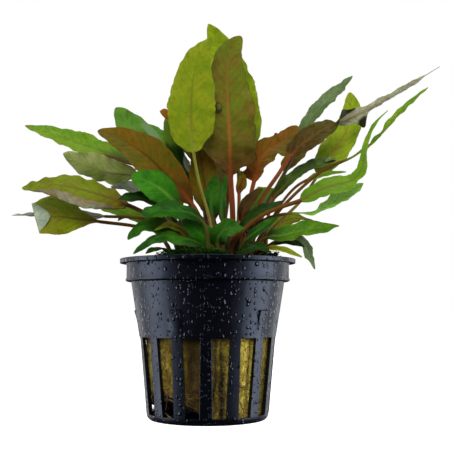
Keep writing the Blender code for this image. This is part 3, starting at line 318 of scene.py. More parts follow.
# Back of the plant
leaf("back_tall_left", "olive_brown", (0, 9.5), [(0, 55, 10.5), (-1.6, 70, 15), (-3.4, 84, 20),
     (-5.6, 97, 25), (-7, 107, 28)], 1.8, 6.6, (0.1, -0.9, 0.4), fold=10, wave=0.7, stalk=0.7, broad=True)
leaf("back_tall_right", "light_green", (4.5, 11), [(4.5, 55, 12.5), (6.4, 70, 19), (7.4, 84, 26),
     (8, 97, 32), (8.6, 108, 36)], 1.8, 6.4, (-0.1, -0.9, 0.4), fold=10, wave=0.6, stalk=0.7, broad=True)
leaf("back_arching", "brown", (1.5, 14), [(1.6, 55, 16), (1.8, 66, 24), (2.4, 76, 36), (3, 82, 50),
     (3.4, 82, 64)], 1, 6.6, (0, -0.35, 0.9), wave=0.7, stalk=0.7, broad=True)
leaf("back_left_arching", "olive", (-5, 11.5), [(-5.4, 55, 14), (-9.6, 66, 22), (-14.6, 74, 34),
     (-19.4, 78.6, 47), (-23.4, 79, 60)], 1, 6, (0.2, -0.35, 0.9), wave=0.6, stalk=0.65, broad=True)
leaf("back_right_arching", "light_green", (9.5, 13.5), [(9.8, 55, 15.5), (13.2, 64, 22), (17.4, 70, 32),
     (21, 73, 43), (24, 72, 54)], 1, 5.6, (-0.2, -0.35, 0.9), wave=0.5, stalk=0.6, broad=True)
leaf("back_left_low", "green", (-9.5, 10), [(-9.6, 53.6, 12), (-13, 60, 18), (-18, 64, 28), (-24, 65, 40),
     (-29, 62.4, 50)], 0.4, 5.6, (0, -0.4, 1), fold=8, wave=0.5, stalk=0.5, lobes=[(0.05, 1, 2.4, 0.06),
     (0.05, -1, 2.4, 0.06)])
leaf("back_far_left", "light_green", (-12, 6), [(-12.6, 53.6, 7), (-19, 60.5, 12), (-27.6, 65.2, 18),
     (-37, 67.4, 25), (-45, 66.4, 31)], 1, 5, (0, -0.4, 1), fold=10, wave=0.5, stalk=0.5)
leaf("back_low", "green", (-2.5, 17), [(-2.8, 52, 19), (-3.6, 58.6, 26), (-4.6, 63, 36), (-5.4, 62, 50)],
     0.1, 6, (0, -0.5, 1), fold=8, wave=0.4, stalk=0.5, blunt=0.55, lobes=[(0.05, 1, 3, 0.08),
     (0.05, -1, 3, 0.08)])
leaf("back_right_low", "green", (6.5, 16.5), [(6.8, 52, 18.4), (8.4, 58.4, 25), (10.2, 62, 36),
     (11.4, 60.6, 48)], 0.1, 6, (0, -0.5, 1), fold=8, wave=0.4, stalk=0.5, blunt=0.55,
     lobes=[(0.05, 1, 3, 0.08), (0.05, -1, 3, 0.08)])
leaf("back_far_right", "olive", (16, 9), [(16.2, 53, 10.4), (20.5, 59.6, 15), (27, 63, 21), (34, 62.4, 28),
     (39, 59.8, 33)], 0.4, 5.2, (0, -0.4, 1), fold=8, wave=0.4, stalk=0.5)
leaf("back_right_tall", "brown", (14, 11), [(14.2, 55, 12.6), (19, 67, 18), (25, 78.5, 25), (30, 85.5, 32),
     (34, 90.5, 38)], 2, 4.4, (-0.4, -0.6, 0.7), wave=0.6, stalk=0.6, broad=True)

# The palettes, chosen to match the look of the leaves, with the parts in the order of PARTS
palette("yellow_green", (104, 124, 14), (120, 138, 20), (92, 110, 18), (96, 116, 12), (114, 124, 16),
        (96, 88, 26), (84, 104, 12), (118, 112, 30), (112, 116, 36), (134, 96, 62))
palette("olive_brown", (90, 104, 22), (98, 86, 26), (68, 40, 12), (96, 88, 30), (92, 70, 30), (142, 84, 36),
        (80, 74, 16), (66, 46, 16), (108, 50, 18), (74, 38, 18))
palette("blue_green", (60, 104, 22), (80, 116, 34), (52, 88, 22), (130, 144, 116), (92, 112, 80),
        (84, 116, 46), (50, 88, 20), (84, 112, 46), (86, 84, 34), (92, 66, 40))
palette("brown", (96, 72, 8), (76, 74, 10), (66, 40, 8), (104, 92, 44), (112, 96, 52), (74, 36, 10),
        (74, 54, 8), (104, 64, 14), (116, 58, 26), (84, 40, 20))
palette("light_green", (80, 120, 14), (100, 130, 22), (72, 108, 16), (112, 134, 58), (122, 138, 66),
        (88, 84, 24), (66, 100, 14), (122, 132, 56), (96, 62, 20), (78, 46, 20))
palette("grey_green", (96, 110, 42), (88, 98, 30), (84, 94, 30), (110, 128, 48), (128, 136, 76),
        (104, 104, 56), (150, 156, 112), (140, 144, 104), (92, 62, 30), (78, 48, 26))
palette("olive", (110, 128, 16), (108, 110, 14), (94, 84, 14), (140, 152, 136), (124, 138, 118),
        (86, 70, 14), (82, 86, 10), (124, 104, 38), (86, 54, 16), (66, 40, 16))
palette("olive_rolled", (98, 114, 14), (94, 98, 12), (88, 76, 14), (124, 126, 104), (116, 102, 74),
        (86, 70, 14), (80, 84, 10), (118, 96, 42), (86, 54, 16), (66, 40, 16))
palette("bright_green", (46, 104, 12), (30, 84, 8), (20, 60, 6), (84, 116, 54), (92, 120, 60),
        (72, 118, 34), (60, 112, 26), (24, 70, 8), (74, 80, 28), (66, 62, 26))
# The dark_green palette is near black: partly the leaves' own dark colour, partly painted shade
palette("dark_green", (16, 40, 5), (28, 56, 8), (8, 22, 3), (150, 158, 144), (70, 84, 52), (34, 62, 16),
        (12, 34, 4), (30, 60, 16), (40, 44, 16), (44, 32, 16))
palette("green", (20, 60, 6), (40, 84, 12), (10, 34, 4), (66, 96, 40), (78, 102, 48), (50, 92, 24),
        (16, 48, 6), (40, 80, 16), (66, 66, 22), (66, 46, 22))
palette("tan", (124, 90, 28), (104, 74, 20), (84, 56, 16), (120, 94, 40), (120, 94, 40), (96, 66, 20),
        (100, 70, 18), (96, 64, 20), (106, 72, 26), (84, 52, 22))
palette("lime", (114, 138, 18), (128, 144, 30), (100, 126, 18), (112, 134, 58), (122, 138, 66),
        (138, 104, 44), (100, 124, 20), (140, 144, 44), (126, 112, 44), (104, 78, 38))
palette("deep_green", (18, 62, 3), (34, 86, 6), (10, 38, 3), (70, 100, 40), (80, 104, 44), (44, 96, 18),
        (22, 66, 6), (40, 90, 14), (66, 70, 22), (66, 50, 22))
palette("greyed_strip", (70, 66, 8), (56, 58, 6), (60, 42, 8), (158, 160, 132), (140, 138, 110),
        (104, 60, 24), (84, 78, 40), (104, 96, 62), (120, 62, 30), (88, 44, 22))
palette("rust", (104, 66, 10), (84, 70, 14), (108, 58, 14), (110, 84, 44), (96, 76, 40), (126, 66, 24),
        (74, 48, 8), (92, 56, 12), (130, 66, 28), (92, 44, 22))
palette("pale_bluish", (88, 106, 66), (72, 92, 50), (58, 78, 34), (122, 132, 106), (104, 120, 86),
        (96, 112, 68), (66, 88, 46), (124, 136, 100), (74, 72, 40), (62, 50, 30))
palette("bluish_leaf", (118, 170, 52), (138, 184, 80), (70, 120, 26), (144, 184, 96), (124, 166, 74),
        (108, 150, 62), (70, 116, 34), (112, 150, 64), (96, 66, 24), (76, 46, 20))
palette("meadow", (56, 98, 12), (78, 114, 20), (24, 58, 6), (92, 120, 50), (100, 126, 56), (96, 128, 38),
        (52, 92, 12), (92, 124, 34), (110, 84, 32), (84, 56, 24))
palette("folded_green", (54, 76, 18), (84, 104, 40), (34, 48, 10), (110, 128, 74), (84, 100, 50),
        (70, 84, 30), (36, 56, 10), (98, 112, 60), (116, 74, 30), (84, 48, 22))
palette("dark_brown", (60, 46, 14), (44, 38, 10), (40, 22, 6), (84, 70, 40), (64, 54, 26), (84, 38, 16),
        (34, 26, 6), (74, 52, 20), (100, 38, 18), (70, 32, 16))
palette("silver", (146, 156, 134), (122, 134, 104), (92, 104, 60), (164, 172, 154), (146, 156, 132),
        (124, 132, 96), (116, 128, 92), (160, 166, 148), (110, 84, 40), (84, 52, 24))
palette("orange", (122, 76, 14), (104, 70, 14), (86, 58, 12), (124, 78, 24), (110, 76, 28), (104, 56, 16),
        (98, 58, 12), (126, 74, 22), (96, 60, 22), (74, 46, 20))


def clamped(value):
    return min(max(value, 0.0), 1.0)


def uneven(x, y, z):
    """Smooth noise from about -1 to 1."""
    return noise.noise(Vector((x, y, z)))


class Shader:
    """Adds nodes to a new material or world one call at a time; a call gives an output of its node."""

    def __init__(self, owner, surface="Principled BSDF"):
        owner.use_nodes = True
        self.owner = owner
        self.tree = owner.node_tree
        self.surface = self.tree.nodes[surface]

    def add(self, kind, inputs=(), out=0, **settings):
        """A new node with its settings and inputs; inputs and out are names or numbers."""
        made = self.tree.nodes.new("ShaderNode" + kind)
        for key, value in settings.items():
            setattr(made, key, value)
        for key, value in dict(inputs).items():
            self.put(made.inputs[key], value)
        return made.outputs[out]

    def put(self, socket, value):
        if isinstance(value, bpy.types.NodeSocket):
            self.tree.links.new(value, socket)
        elif isinstance(value, tuple) and len(value) == 3 and socket.type == "RGBA":
            socket.default_value = (*value, 1.0)
        else:
            socket.default_value = value

    def attribute(self, name, out=2):
        return self.add("Attribute", attribute_name=name, out=out)

    def three(self, name):
        """The three numbers of a vector attribute."""
        return self.add("SeparateXYZ", {0: self.attribute(name, 1)}).node.outputs[:]

    def math(self, operation, *values):
        return self.add("Math", dict(enumerate(values)), operation=operation)

    def times(self, *values):
        return self.math("MULTIPLY", *values)

    def less(self, *values):
        return self.math("SUBTRACT", *values)

    def ramp(self, value, low, high, bottom=0.0, top=1.0):
        """A smooth step of a value from low to high, which may run backwards."""
        return self.add("MapRange", {0: value, 1: low, 2: high, 3: bottom, 4: top},
                        interpolation_type="SMOOTHSTEP")

    def mix(self, share, first, second, blend="MIX"):
        return self.add("Mix", {0: share, 6: first, 7: second}, out=2, data_type="RGBA", blend_type=blend)

    def tinted(self, share, colour, red, green, blue):
        """A colour that is multiplied by a tint to a share."""
        return self.mix(share, colour, self.mix(1.0, colour, (red, green, blue), "MULTIPLY"))

    def vector(self, x, y, z):
        return self.add("CombineXYZ", {0: x, 1: y, 2: z})

    def scaled(self, vector, x, y=None, z=None):
        """A vector times one number, or times one for each direction."""
        return self.add("VectorMath", {0: vector, 1: (x, y or x, z or x)}, operation="MULTIPLY")

    def moved(self, vector, by):
        return self.add("VectorMath", {0: vector, 1: by}, operation="ADD")

    def noise(self, vector, scale, detail=3.0, roughness=0.6):
        return self.add("TexNoise", {"Vector": vector, "Scale": scale, "Detail": detail,
                                     "Roughness": roughness})

    def cells(self, vector, scale, feature="F1", out=0):
        return self.add("TexVoronoi", {"Vector": vector, "Scale": scale}, out=out, feature=feature)

    def bump(self, height, strength, relief):
        """Relief of a depth in millimetres."""
        return self.add("Bump", {"Height": height, "Strength": strength, "Distance": relief * MM})

    def set(self, **values):
        for key, value in values.items():
            self.put(self.surface.inputs[key.replace("_", " ")], value)


# A leaf's skin: scales of its patterns, how far in millimetres a side vein shows, how strongly the net of
# small veins and the margin show, the share across where the margin starts, and the depth of the relief
MOTTLE_SCALE = 0.17
BLOTCH_SCALE = 0.42
GRAIN_SCALE = 1.7
NET_SCALE = 0.95
STREAK_SCALE = 1.2
VEIN_REACH = 0.42
NET_SHOWS = 0.11
EDGE_SHOWS = 0.55
EDGE_FROM = 0.93
SKIN_RELIEF = 0.22


def leaf_material(name, colours, spots, relief):
    """A leaf's skin from its own coordinates: millimetres along and across, the vein phase and the side."""
    shader = Shader(bpy.data.materials.new(name))
    mix, ramp, times, less = shader.mix, shader.ramp, shader.times, shader.less
    along, across, vein = shader.three("leaf_place")
    position, side, share = shader.three("leaf_form")
    stalk, seed, spacing = shader.three("leaf_kind")
    place = shader.vector(along, across, times(seed, 17.0))

    # Two mottled colours on each side, darker and paler blotches and a fine grain; the paler blotches are
    # partly random tone and partly painted highlights in place of the skin's gloss
    mottle = ramp(shader.noise(place, MOTTLE_SCALE, 3.0, 0.65), 0.38, 0.62)
    body = mix(mottle, colours["leaf"], colours["second"])
    # Towards the stalk the blade darkens: partly its own colour, partly painted shade
    body = mix(ramp(share, 0.0, 0.45), colours["base"], body)
    blade = mix(side, mix(mottle, colours["under"], colours["second_under"]), body)
    blotches = shader.noise(place, BLOTCH_SCALE, 4.0, 0.7)
    blade = shader.tinted(ramp(blotches, 0.52, 0.7, 0.0, 0.6), blade, 0.62, 0.6, 0.55)
    blade = shader.tinted(ramp(blotches, 0.46, 0.3, 0.0, 0.6), blade, 1.35, 1.3, 1.15)
    grain = shader.noise(place, GRAIN_SCALE, 4.0, 0.7)
    blade = shader.tinted(ramp(grain, 0.3, 0.7, 0.0, 0.5), blade, 1.3, 1.28, 1.2)

    # Side veins that show here and there, and the net of small veins between them
    vein_line = ramp(times(shader.math("PINGPONG", vein, 0.5), spacing), VEIN_REACH, 0.02)
    vein_fade = ramp(shader.noise(place, 0.5, 2.0), 0.3, 0.7, 0.08, 0.55)
    blade = mix(times(vein_line, vein_fade), blade, colours["vein"])
    net = ramp(shader.cells(place, NET_SCALE, "DISTANCE_TO_EDGE"), 0.14, 0.0)
    blade = mix(times(net, NET_SHOWS), blade, colours["vein"])

    # The midrib, which thins out towards the tip, the margin and the patches
    rib_reach = ramp(share, 1.0, 0.0, 0.25, 0.95)
    rib_line = ramp(shader.math("DIVIDE", shader.math("ABSOLUTE", across), rib_reach), 1.0, 0.2)
    rib_line = times(rib_line, ramp(share, 0.98, 0.35, 0.15, 1.0))
    rib_line = times(rib_line, shader.attribute("rib_strength"))
    blade = mix(rib_line, blade, mix(ramp(share, 0.0, 0.3), colours["stalk"], colours["rib"]))
    margin = ramp(shader.math("ABSOLUTE", position), EDGE_FROM, 1.0)
    blade = mix(times(margin, EDGE_SHOWS), blade, colours["edge"])
    for spot_along, spot_across, long, wide, colour in spots:
        off_along = shader.math("DIVIDE", less(along, spot_along), long)
        off_across = shader.math("DIVIDE", less(across, spot_across), wide)
        off = shader.add("VectorMath", {0: shader.vector(off_along, off_across, 0.0)}, out=1,
                         operation="LENGTH")
        off = shader.math("ADD", off, times(blotches, 0.5))
        blade = mix(ramp(off, 1.4, 0.95), blade, tone(*colour))

    # The stalk, streaked along its length
    stem = mix(ramp(along, -40.0, -3.0), colours["foot"], colours["stalk"])
    streaks = shader.noise(shader.scaled(place, 0.15, 1.0, 1.0), STREAK_SCALE)
    stem = shader.tinted(ramp(streaks, 0.35, 0.65, 0.0, 0.6), stem, 0.5, 0.5, 0.45)

    height = less(less(times(grain, 0.5), times(net, 0.14)), times(vein_line, 0.5))
    shader.set(Base_Color=mix(stalk, blade, stem), Roughness=ramp(grain, 0.2, 0.8, 0.34, 0.5),
               Specular_IOR_Level=0.12, Subsurface_Weight=0.1, Subsurface_Scale=0.0005,
               Subsurface_Radius=(0.7, 1.0, 0.25), Normal=shader.bump(height, 0.4 * relief, SKIN_RELIEF))
    return shader.owner


# Plastic and wool: patterns on the plastic in repeats a metre, and depths of relief in millimetres
SMALL_DROPS = 820.0
LARGE_DROPS = 400.0
PLASTIC_GRAIN = 900.0
PLASTIC_HAZE = 60.0
DROP_RELIEF = 0.34
WOOL_RELIEF = 0.5
STRAND_RELIEF = 0.2


def pot_material():
    """Near-black moulded plastic, satin, with fine beads of wet."""
    shader = Shader(bpy.data.materials.new("pot_plastic"))
    place = shader.add("TexCoord", out=3)
    wobble = shader.add("TexNoise", {"Vector": place, "Scale": PLASTIC_GRAIN}, out=1)
    bent = shader.moved(place, shader.scaled(wobble, 0.0007))

    def domes(scale, least, most):
        """Rounded drops in the cells of a pattern, of uneven sizes."""
        size = shader.add("SeparateColor", {0: shader.cells(bent, scale, out=1)})
        reach = shader.math("MAXIMUM", shader.ramp(size, least, 1.0, 0.0, most), 0.001)
        off = shader.math("DIVIDE", shader.cells(bent, scale), reach)
        return shader.math("SQRT", shader.math("MAXIMUM", shader.less(1.0, off), 0.0))

    # Many small drops and a few large ones on satin plastic
    large = shader.times(domes(LARGE_DROPS, 0.6, 0.34), 1.4)
    dome = shader.math("MAXIMUM", domes(SMALL_DROPS, 0.1, 0.52), large)
    haze = shader.noise(place, PLASTIC_HAZE)
    height = shader.math("ADD", dome, shader.times(shader.noise(place, PLASTIC_GRAIN), 0.03))
    dry = shader.ramp(haze, 0.3, 0.7, 0.34, 0.44)
    rough = shader.add("Mix", {0: shader.ramp(dome, 0.02, 0.2), 2: dry, 3: 0.1}, data_type="FLOAT")
    shader.set(Base_Color=shader.mix(haze, tone(2, 3, 6), tone(5, 6, 11)),
               Roughness=rough, Specular_IOR_Level=0.72, Specular_Tint=(0.56, 0.68, 1.0),
               Normal=shader.bump(height, 0.9, DROP_RELIEF))
    return shader.owner


def wool_material():
    """Damp mineral wool: matted yellow-olive fibre, with painted shade in its creases and hollows."""
    shader = Shader(bpy.data.materials.new("mineral_wool"))
    place = shader.scaled(shader.add("TexCoord", out=3), 1.0 / MM)
    swirl = shader.add("TexNoise", {"Vector": place, "Scale": 0.22, "Detail": 2.0}, out=1)
    swirled = shader.moved(shader.scaled(swirl, 9.0), place)
    strands = shader.noise(shader.scaled(swirled, 1.0, 1.0, 0.35), 1.3, 5.0, 0.75)
    clouds = shader.noise(place, 0.3, 4.0)
    pale = shader.mix(shader.ramp(clouds, 0.38, 0.62), tone(136, 120, 38), tone(176, 162, 78))
    body = shader.mix(shader.ramp(strands, 0.36, 0.64), tone(90, 72, 20), pale)
    stain = shader.ramp(shader.noise(place, 0.11), 0.55, 0.72)
    body = shader.mix(shader.times(stain, 0.5), body, tone(96, 62, 20))
    shade = shader.mix(shader.attribute("wool_light"), (0.24, 0.17, 0.07), (2.1, 2.15, 1.9))
    body = shader.mix(1.0, body, shade, "MULTIPLY")
    # Painted shade: creases, low hollows and the plug's underside darken towards near black
    body = shader.mix(shader.attribute("wool_depth"), body, tone(22, 15, 4))
    height = shader.math("ADD", shader.times(strands, 0.7), shader.noise(place, 3.2))
    shader.set(Base_Color=body, Roughness=0.9, Specular_IOR_Level=0.2, Sheen_Weight=0.1,
               Sheen_Roughness=0.5, Normal=shader.bump(height, 0.8, WOOL_RELIEF))
    return shader.owner


def strand_material(name, dark, light, roughness):
    """Thin strands: roots, and the shoots of the moss."""
    shader = Shader(bpy.data.materials.new(name))
    place = shader.scaled(shader.add("TexCoord", out=3), 1.0 / MM)
    patches = shader.ramp(shader.noise(place, 0.6), 0.35, 0.65)
    fine = shader.noise(place, 4.0, 2.0)
    shader.set(Base_Color=shader.mix(patches, tone(*dark), tone(*light)), Roughness=roughness,
               Specular_IOR_Level=0.3, Normal=shader.bump(fine, 0.4, STRAND_RELIEF))
    return shader.owner


def linked(name, data):
    """A new object of the scene."""
    made = bpy.data.objects.new(name, data)
    bpy.context.scene.collection.objects.link(made)
    return made


def mesh_object(name, points, faces, materials, attributes=(), face_materials=None, angle=80.0):
    """A piece from points in millimetres; attributes has the values of each named point attribute."""
    mesh = bpy.data.meshes.new(name)
    mesh.from_pydata([(x * MM, y * MM, z * MM) for x, y, z in points], [], faces)
    for title, values in dict(attributes).items():
        if isinstance(values[0], tuple):
            made = mesh.attributes.new(title, "FLOAT_VECTOR", "POINT")
            made.data.foreach_set("vector", [part for value in values for part in value])
        else:
            made = mesh.attributes.new(title, "FLOAT", "POINT")
            made.data.foreach_set("value", values)
    for material in materials:
        mesh.materials.append(material)
    if face_materials is not None:
        mesh.polygons.foreach_set("material_index", face_materials)
    mesh.update()
    mesh.shade_smooth()
    mesh.set_sharp_from_angle(angle=math.radians(angle))
    return linked(name, mesh)


def settle(piece, node):
    """The piece rides on the one body and stands for a CAD node, whose own piece is hidden."""
    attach(piece, BODY)
    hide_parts(node)


def round_the_pot(angle, radius, height):
    turn = math.radians(angle)
    return Vector((radius * math.sin(turn), -radius * math.cos(turn), height))


def bridge(faces, one, other):
    """Adds the faces between two closed rings of points."""
    for here in range(len(one)):
        after = (here + 1) % len(one)
        faces.append((one[here], one[after], other[after], other[here]))


def strand(points, faces, route, radius, sides=3, tip=0.3):
    """Adds a thin closed tube along a route of places."""
    rings = []
    for number, middle in enumerate(route):
        before = route[max(number - 1, 0)]
        after = route[min(number + 1, len(route) - 1)]
        forward = (after - before).normalized()
        one = forward.orthogonal().normalized()
        two = forward.cross(one)
        size = radius * (1.0 + (tip - 1.0) * number / (len(route) - 1))
        rings.append(range(len(points), len(points) + sides))
        for side in range(sides):
            turn = 2 * math.pi * side / sides
            points.append(middle + (one * math.cos(turn) + two * math.sin(turn)) * size)
    for ring, following in zip(rings, rings[1:]):
        bridge(faces, ring, following)
    faces.append(tuple(reversed(rings[0])))
    faces.append(tuple(rings[-1]))


def wall_radius(height):
    if height > BODY_KNEE_HEIGHT:
        share = (height - BODY_KNEE_HEIGHT) / (COLLAR_BOTTOM - BODY_KNEE_HEIGHT)
        return BODY_KNEE_RADIUS + (BODY_TOP_RADIUS - BODY_KNEE_RADIUS) * share
    share = (height - BASE_CORNER_HEIGHT) / (BODY_KNEE_HEIGHT - BASE_CORNER_HEIGHT)
    return BODY_BOTTOM_RADIUS + (BODY_KNEE_RADIUS - BODY_BOTTOM_RADIUS) * share


SLOT_STEPS = (-1.0, -0.5, 0.0, 0.5, 1.0)
RIB_STEPS = (0.07, 0.5, 0.93)
COLUMNS_PER_SLOT = len(SLOT_STEPS) + len(RIB_STEPS)
SLOTS_PER_DRAIN = SLOT_COUNT // DRAIN_COUNT
SLOT_PITCH = 360.0 / SLOT_COUNT
SLOT_FOOT_INSET = 0.14
POT_EDGE = 0.22
POT_EDGE_ANGLE = 42.0


def pot_rows():
    """The pot's closed section as rows of (radius, height, kind), round the wall and back over the floor."""
    slot_heights = [SLOT_BOTTOM, BASE_CORNER_HEIGHT, 8.0, 14.0, 20.0, BODY_KNEE_HEIGHT, SLOT_TOP]
    lug_heights = [LUG_TOP - LUG_HEIGHT, LUG_TOP - LUG_HEIGHT / 2, LUG_TOP - 0.3]
    lip_foot = POT_HEIGHT - LIP_DEPTH
    floor_corner = BASE_RADIUS - WALL / 4

    def outer(height):
        return wall_radius(max(height, BASE_CORNER_HEIGHT)) - (height < BASE_CORNER_HEIGHT) * SLOT_FOOT_INSET

    def inner(height):
        share = (height - FLOOR_THICKNESS) / (BODY_KNEE_HEIGHT - FLOOR_THICKNESS)
        return floor_corner + (BODY_KNEE_RADIUS - WALL - floor_corner) * share

    sections = [
        ("under", [(0.0, 0.0), (DRAIN_INNER_RADIUS, 0.0), (DRAIN_OUTER_RADIUS, 0.0)]),
        ("wall", [(BASE_RADIUS, 0.0), (BASE_RADIUS + BASE_CORNER, BASE_CORNER)]),
        ("slot", [(outer(height), height) for height in slot_heights]),
        ("lug", [(wall_radius(height), height) for height in lug_heights]),
        ("wall", [(wall_radius(LUG_TOP), LUG_TOP), (BODY_TOP_RADIUS, COLLAR_BOTTOM),
                  (COLLAR_RADIUS - 0.3, COLLAR_BOTTOM), (COLLAR_RADIUS + 0.25, COLLAR_BOTTOM + 0.3),
                  (COLLAR_RADIUS + 0.25, COLLAR_BOTTOM + 0.8), (COLLAR_RADIUS, COLLAR_BOTTOM + 1.1),
                  (COLLAR_RADIUS, lip_foot - 0.4), (COLLAR_RADIUS + 0.3, lip_foot), (LIP_RADIUS, lip_foot),
                  (LIP_RADIUS, POT_HEIGHT), (COLLAR_RADIUS - WALL, POT_HEIGHT),
                  (COLLAR_RADIUS - WALL, COLLAR_BOTTOM + WALL), (BODY_TOP_RADIUS - WALL, COLLAR_BOTTOM)]),
        ("inner_slot", [(inner(height), height) for height in reversed(slot_heights)]),
        ("wall", [(floor_corner, FLOOR_THICKNESS)]),
        ("floor", [(radius, FLOOR_THICKNESS) for radius in (DRAIN_OUTER_RADIUS, DRAIN_INNER_RADIUS, 0.0)]),
    ]
    return [(radius, height, kind) for kind, places in sections for radius, height in places]


def pot_column_angle(column, radius, height, kind):
    """The angle of a column of the pot's mesh, which follows the slots' edges or the drains' on the floor."""
    if kind in ("under", "floor"):
        half = math.degrees(math.asin(DRAIN_WIDTH / 2 / max(radius, DRAIN_INNER_RADIUS)))
        period = SLOTS_PER_DRAIN * COLUMNS_PER_SLOT
        drain, place = divmod(column, period)
        last = len(SLOT_STEPS) - 1
        start = SLOT_FIRST_ANGLE + drain * SLOTS_PER_DRAIN * SLOT_PITCH
        if place <= last:
            return start + half * SLOT_STEPS[place]
        share = (place - last) / (period - last)
        return start + half + (SLOTS_PER_DRAIN * SLOT_PITCH - 2 * half) * share
    slot, step = divmod(column, COLUMNS_PER_SLOT)
    share = clamped((height - SLOT_BOTTOM) / (SLOT_TOP - SLOT_BOTTOM))
    width = SLOT_WIDTH_BOTTOM + (SLOT_WIDTH_TOP - SLOT_WIDTH_BOTTOM) * share
    half = math.degrees(math.asin(width / 2 / radius))
    middle = SLOT_FIRST_ANGLE + slot * SLOT_PITCH
    if step < len(SLOT_STEPS):
        return middle + half * SLOT_STEPS[step]
    return middle + half + (SLOT_PITCH - 2 * half) * RIB_STEPS[step - len(SLOT_STEPS)]


def make_pot():
    """The net pot as one closed mesh of quads, whose columns follow its slots and whose edges are rounded."""
    rows = pot_rows()
    columns = SLOT_COUNT * COLUMNS_PER_SLOT
    lug_slots = [(LUG_FIRST_ANGLE + index * 360.0 / LUG_COUNT - SLOT_FIRST_ANGLE - SLOT_PITCH / 2)
                 / SLOT_PITCH % SLOT_COUNT for index in range(LUG_COUNT)]
    points = []
    index_of = {}
    for row, (radius, height, kind) in enumerate(rows):
        if radius == 0.0:
            index_of.update({(row, column): len(points) for column in range(columns)})
            points.append((0.0, 0.0, height))
            continue
        for column in range(columns):
            slot, step = divmod(column, COLUMNS_PER_SLOT)
            out = 0.0
            on_rib = step >= len(SLOT_STEPS)
            if kind == "lug" and on_rib and any(abs(slot - place) < 0.01 for place in lug_slots):
                out = LUG_PROUD * (height - LUG_TOP + LUG_HEIGHT) / LUG_HEIGHT
            index_of[row, column] = len(points)
            angle = pot_column_angle(column, radius, height, kind)
            points.append(round_the_pot(angle, radius + out, height))

    def open_here(row, column):
        """Whether a face would lie in a slot or a drain."""
        slot, step = divmod(column, COLUMNS_PER_SLOT)
        if step >= len(SLOT_STEPS) - 1:
            return False
        drain = (DRAIN_INNER_RADIUS, DRAIN_OUTER_RADIUS)
        if rows[row][0] in drain and rows[row + 1][0] in drain:
            return slot % SLOTS_PER_DRAIN == 0
        return rows[row][2] == rows[row + 1][2] and "slot" in rows[row][2]

    faces = []
    rims = {}
    for row in range(len(rows) - 1):
        for column in range(columns):
            if open_here(row, column):
                continue
            after = (column + 1) % columns
            loop = []
            for corner in ((row, column), (row, after), (row + 1, after), (row + 1, column)):
                if index_of[corner] not in loop:
                    loop.append(index_of[corner])
            faces.append(loop)
            rims.update(dict.fromkeys(zip(loop, loop[1:] + loop[:1])))

    # The rims of the slots and drains are closed between the outer surface and the inner one
    pairs = (("slot", "inner_slot", 1), ("under", "floor", 0))
    mirror = {row: other for row, here in enumerate(rows) for other, there in enumerate(rows)
              for kind, inner_kind, same in pairs
              if (here[2], there[2]) == (kind, inner_kind) and here[same] == there[same]}
    place_of = {index: place for place, index in index_of.items()}
    for start, end in rims:
        row, column = place_of[start]
        other_row, other_column = place_of[end]
        if (end, start) not in rims and row in mirror and other_row in mirror:
            inner, other_inner = index_of[mirror[row], column], index_of[mirror[other_row], other_column]
            faces.append([end, start, inner, other_inner])
    piece = mesh_object("net_pot", points, faces, [pot_material()], angle=40.0)
    rounding = piece.modifiers.new("rounded_edges", "BEVEL")
    rounding.width = POT_EDGE * MM
    rounding.segments = 2
    rounding.limit_method = "ANGLE"
    rounding.angle_limit = math.radians(POT_EDGE_ANGLE)
    settle(piece, "pot")


def wool_bottom(angle):
    """The height of the wool's bottom edge, with its tear."""
    offset = (angle - WOOL_TEAR_ANGLE + 180.0) % 360.0 - 180.0
    share = clamped(abs(offset) / WOOL_TEAR_SPAN)
    return FLOOR_THICKNESS + GAP + WOOL_TEAR_HEIGHT * math.cos(math.pi / 2 * share) ** 2


# Long creases in the wool as (angle, height, length, width, depth)
WOOL_CREASES = [(-13.5, 22.0, 5.0, 9.0, 1.0), (-16.5, 12.0, 9.0, 2.2, 0.8), (6.6, 15.0, 13.0, 1.5, 1.4),
                (12.5, 14.0, 12.0, 2.0, 1.6), (15.5, 6.0, 7.0, 2.4, 1.4), (-34.0, 20.0, 4.0, 3.0, 1.0),
                (-40.0, 13.0, 3.0, 4.0, 0.8), (42.0, 17.0, 10.0, 1.6, 1.2), (62.0, 9.0, 7.0, 2.0, 1.0),
                (-8.5, 6.0, 4.0, 3.0, 1.0), (86.0, 14.0, 9.0, 2.2, 1.2), (112.0, 18.0, 7.0, 3.0, 1.2),
                (137.0, 11.0, 9.0, 2.0, 1.2), (160.0, 19.0, 6.0, 4.0, 1.0), (184.0, 13.0, 9.0, 1.8, 1.4),
                (208.0, 9.0, 6.0, 3.0, 1.2), (232.0, 17.0, 8.0, 2.0, 1.2), (256.0, 12.0, 9.0, 2.2, 1.2),
                (278.0, 20.0, 5.0, 3.0, 1.0)]

# How light the wool is at an angle round the pot, from dark to pale
WOOL_TONES = [(-90.0, 0.5), (-37.5, 0.5), (-13.5, 0.0), (10.5, 0.3), (34.5, 1.0), (58.5, 0.7), (110.0, 0.5),
              (180.0, 0.3), (230.0, 0.6), (270.0, 0.5)]

# The meshes of the wool, its loose fibres and the roots: their numbers, radii, steps and limits
WOOL_COLUMNS = 300
WOOL_ROWS = 96
CAP_RINGS = 26
SIDE_FIBRES = 2600
CAP_FIBRES = 500
FIBRE_STEPS = 6
SIDE_FIBRE_RADIUS = (0.05, 0.11)
CAP_FIBRE_RADIUS = (0.05, 0.09)
CAP_FIBRE_REACH = 22.4
WOOL_ROUNDING = 0.4
ROOTS = 46
ROOT_STEPS = 16
ROOT_STEP = 0.9
ROOT_LOWEST = 2.0
ROOT_HIGHEST = 26.0
ROOT_RADIUS = (0.10, 0.19)


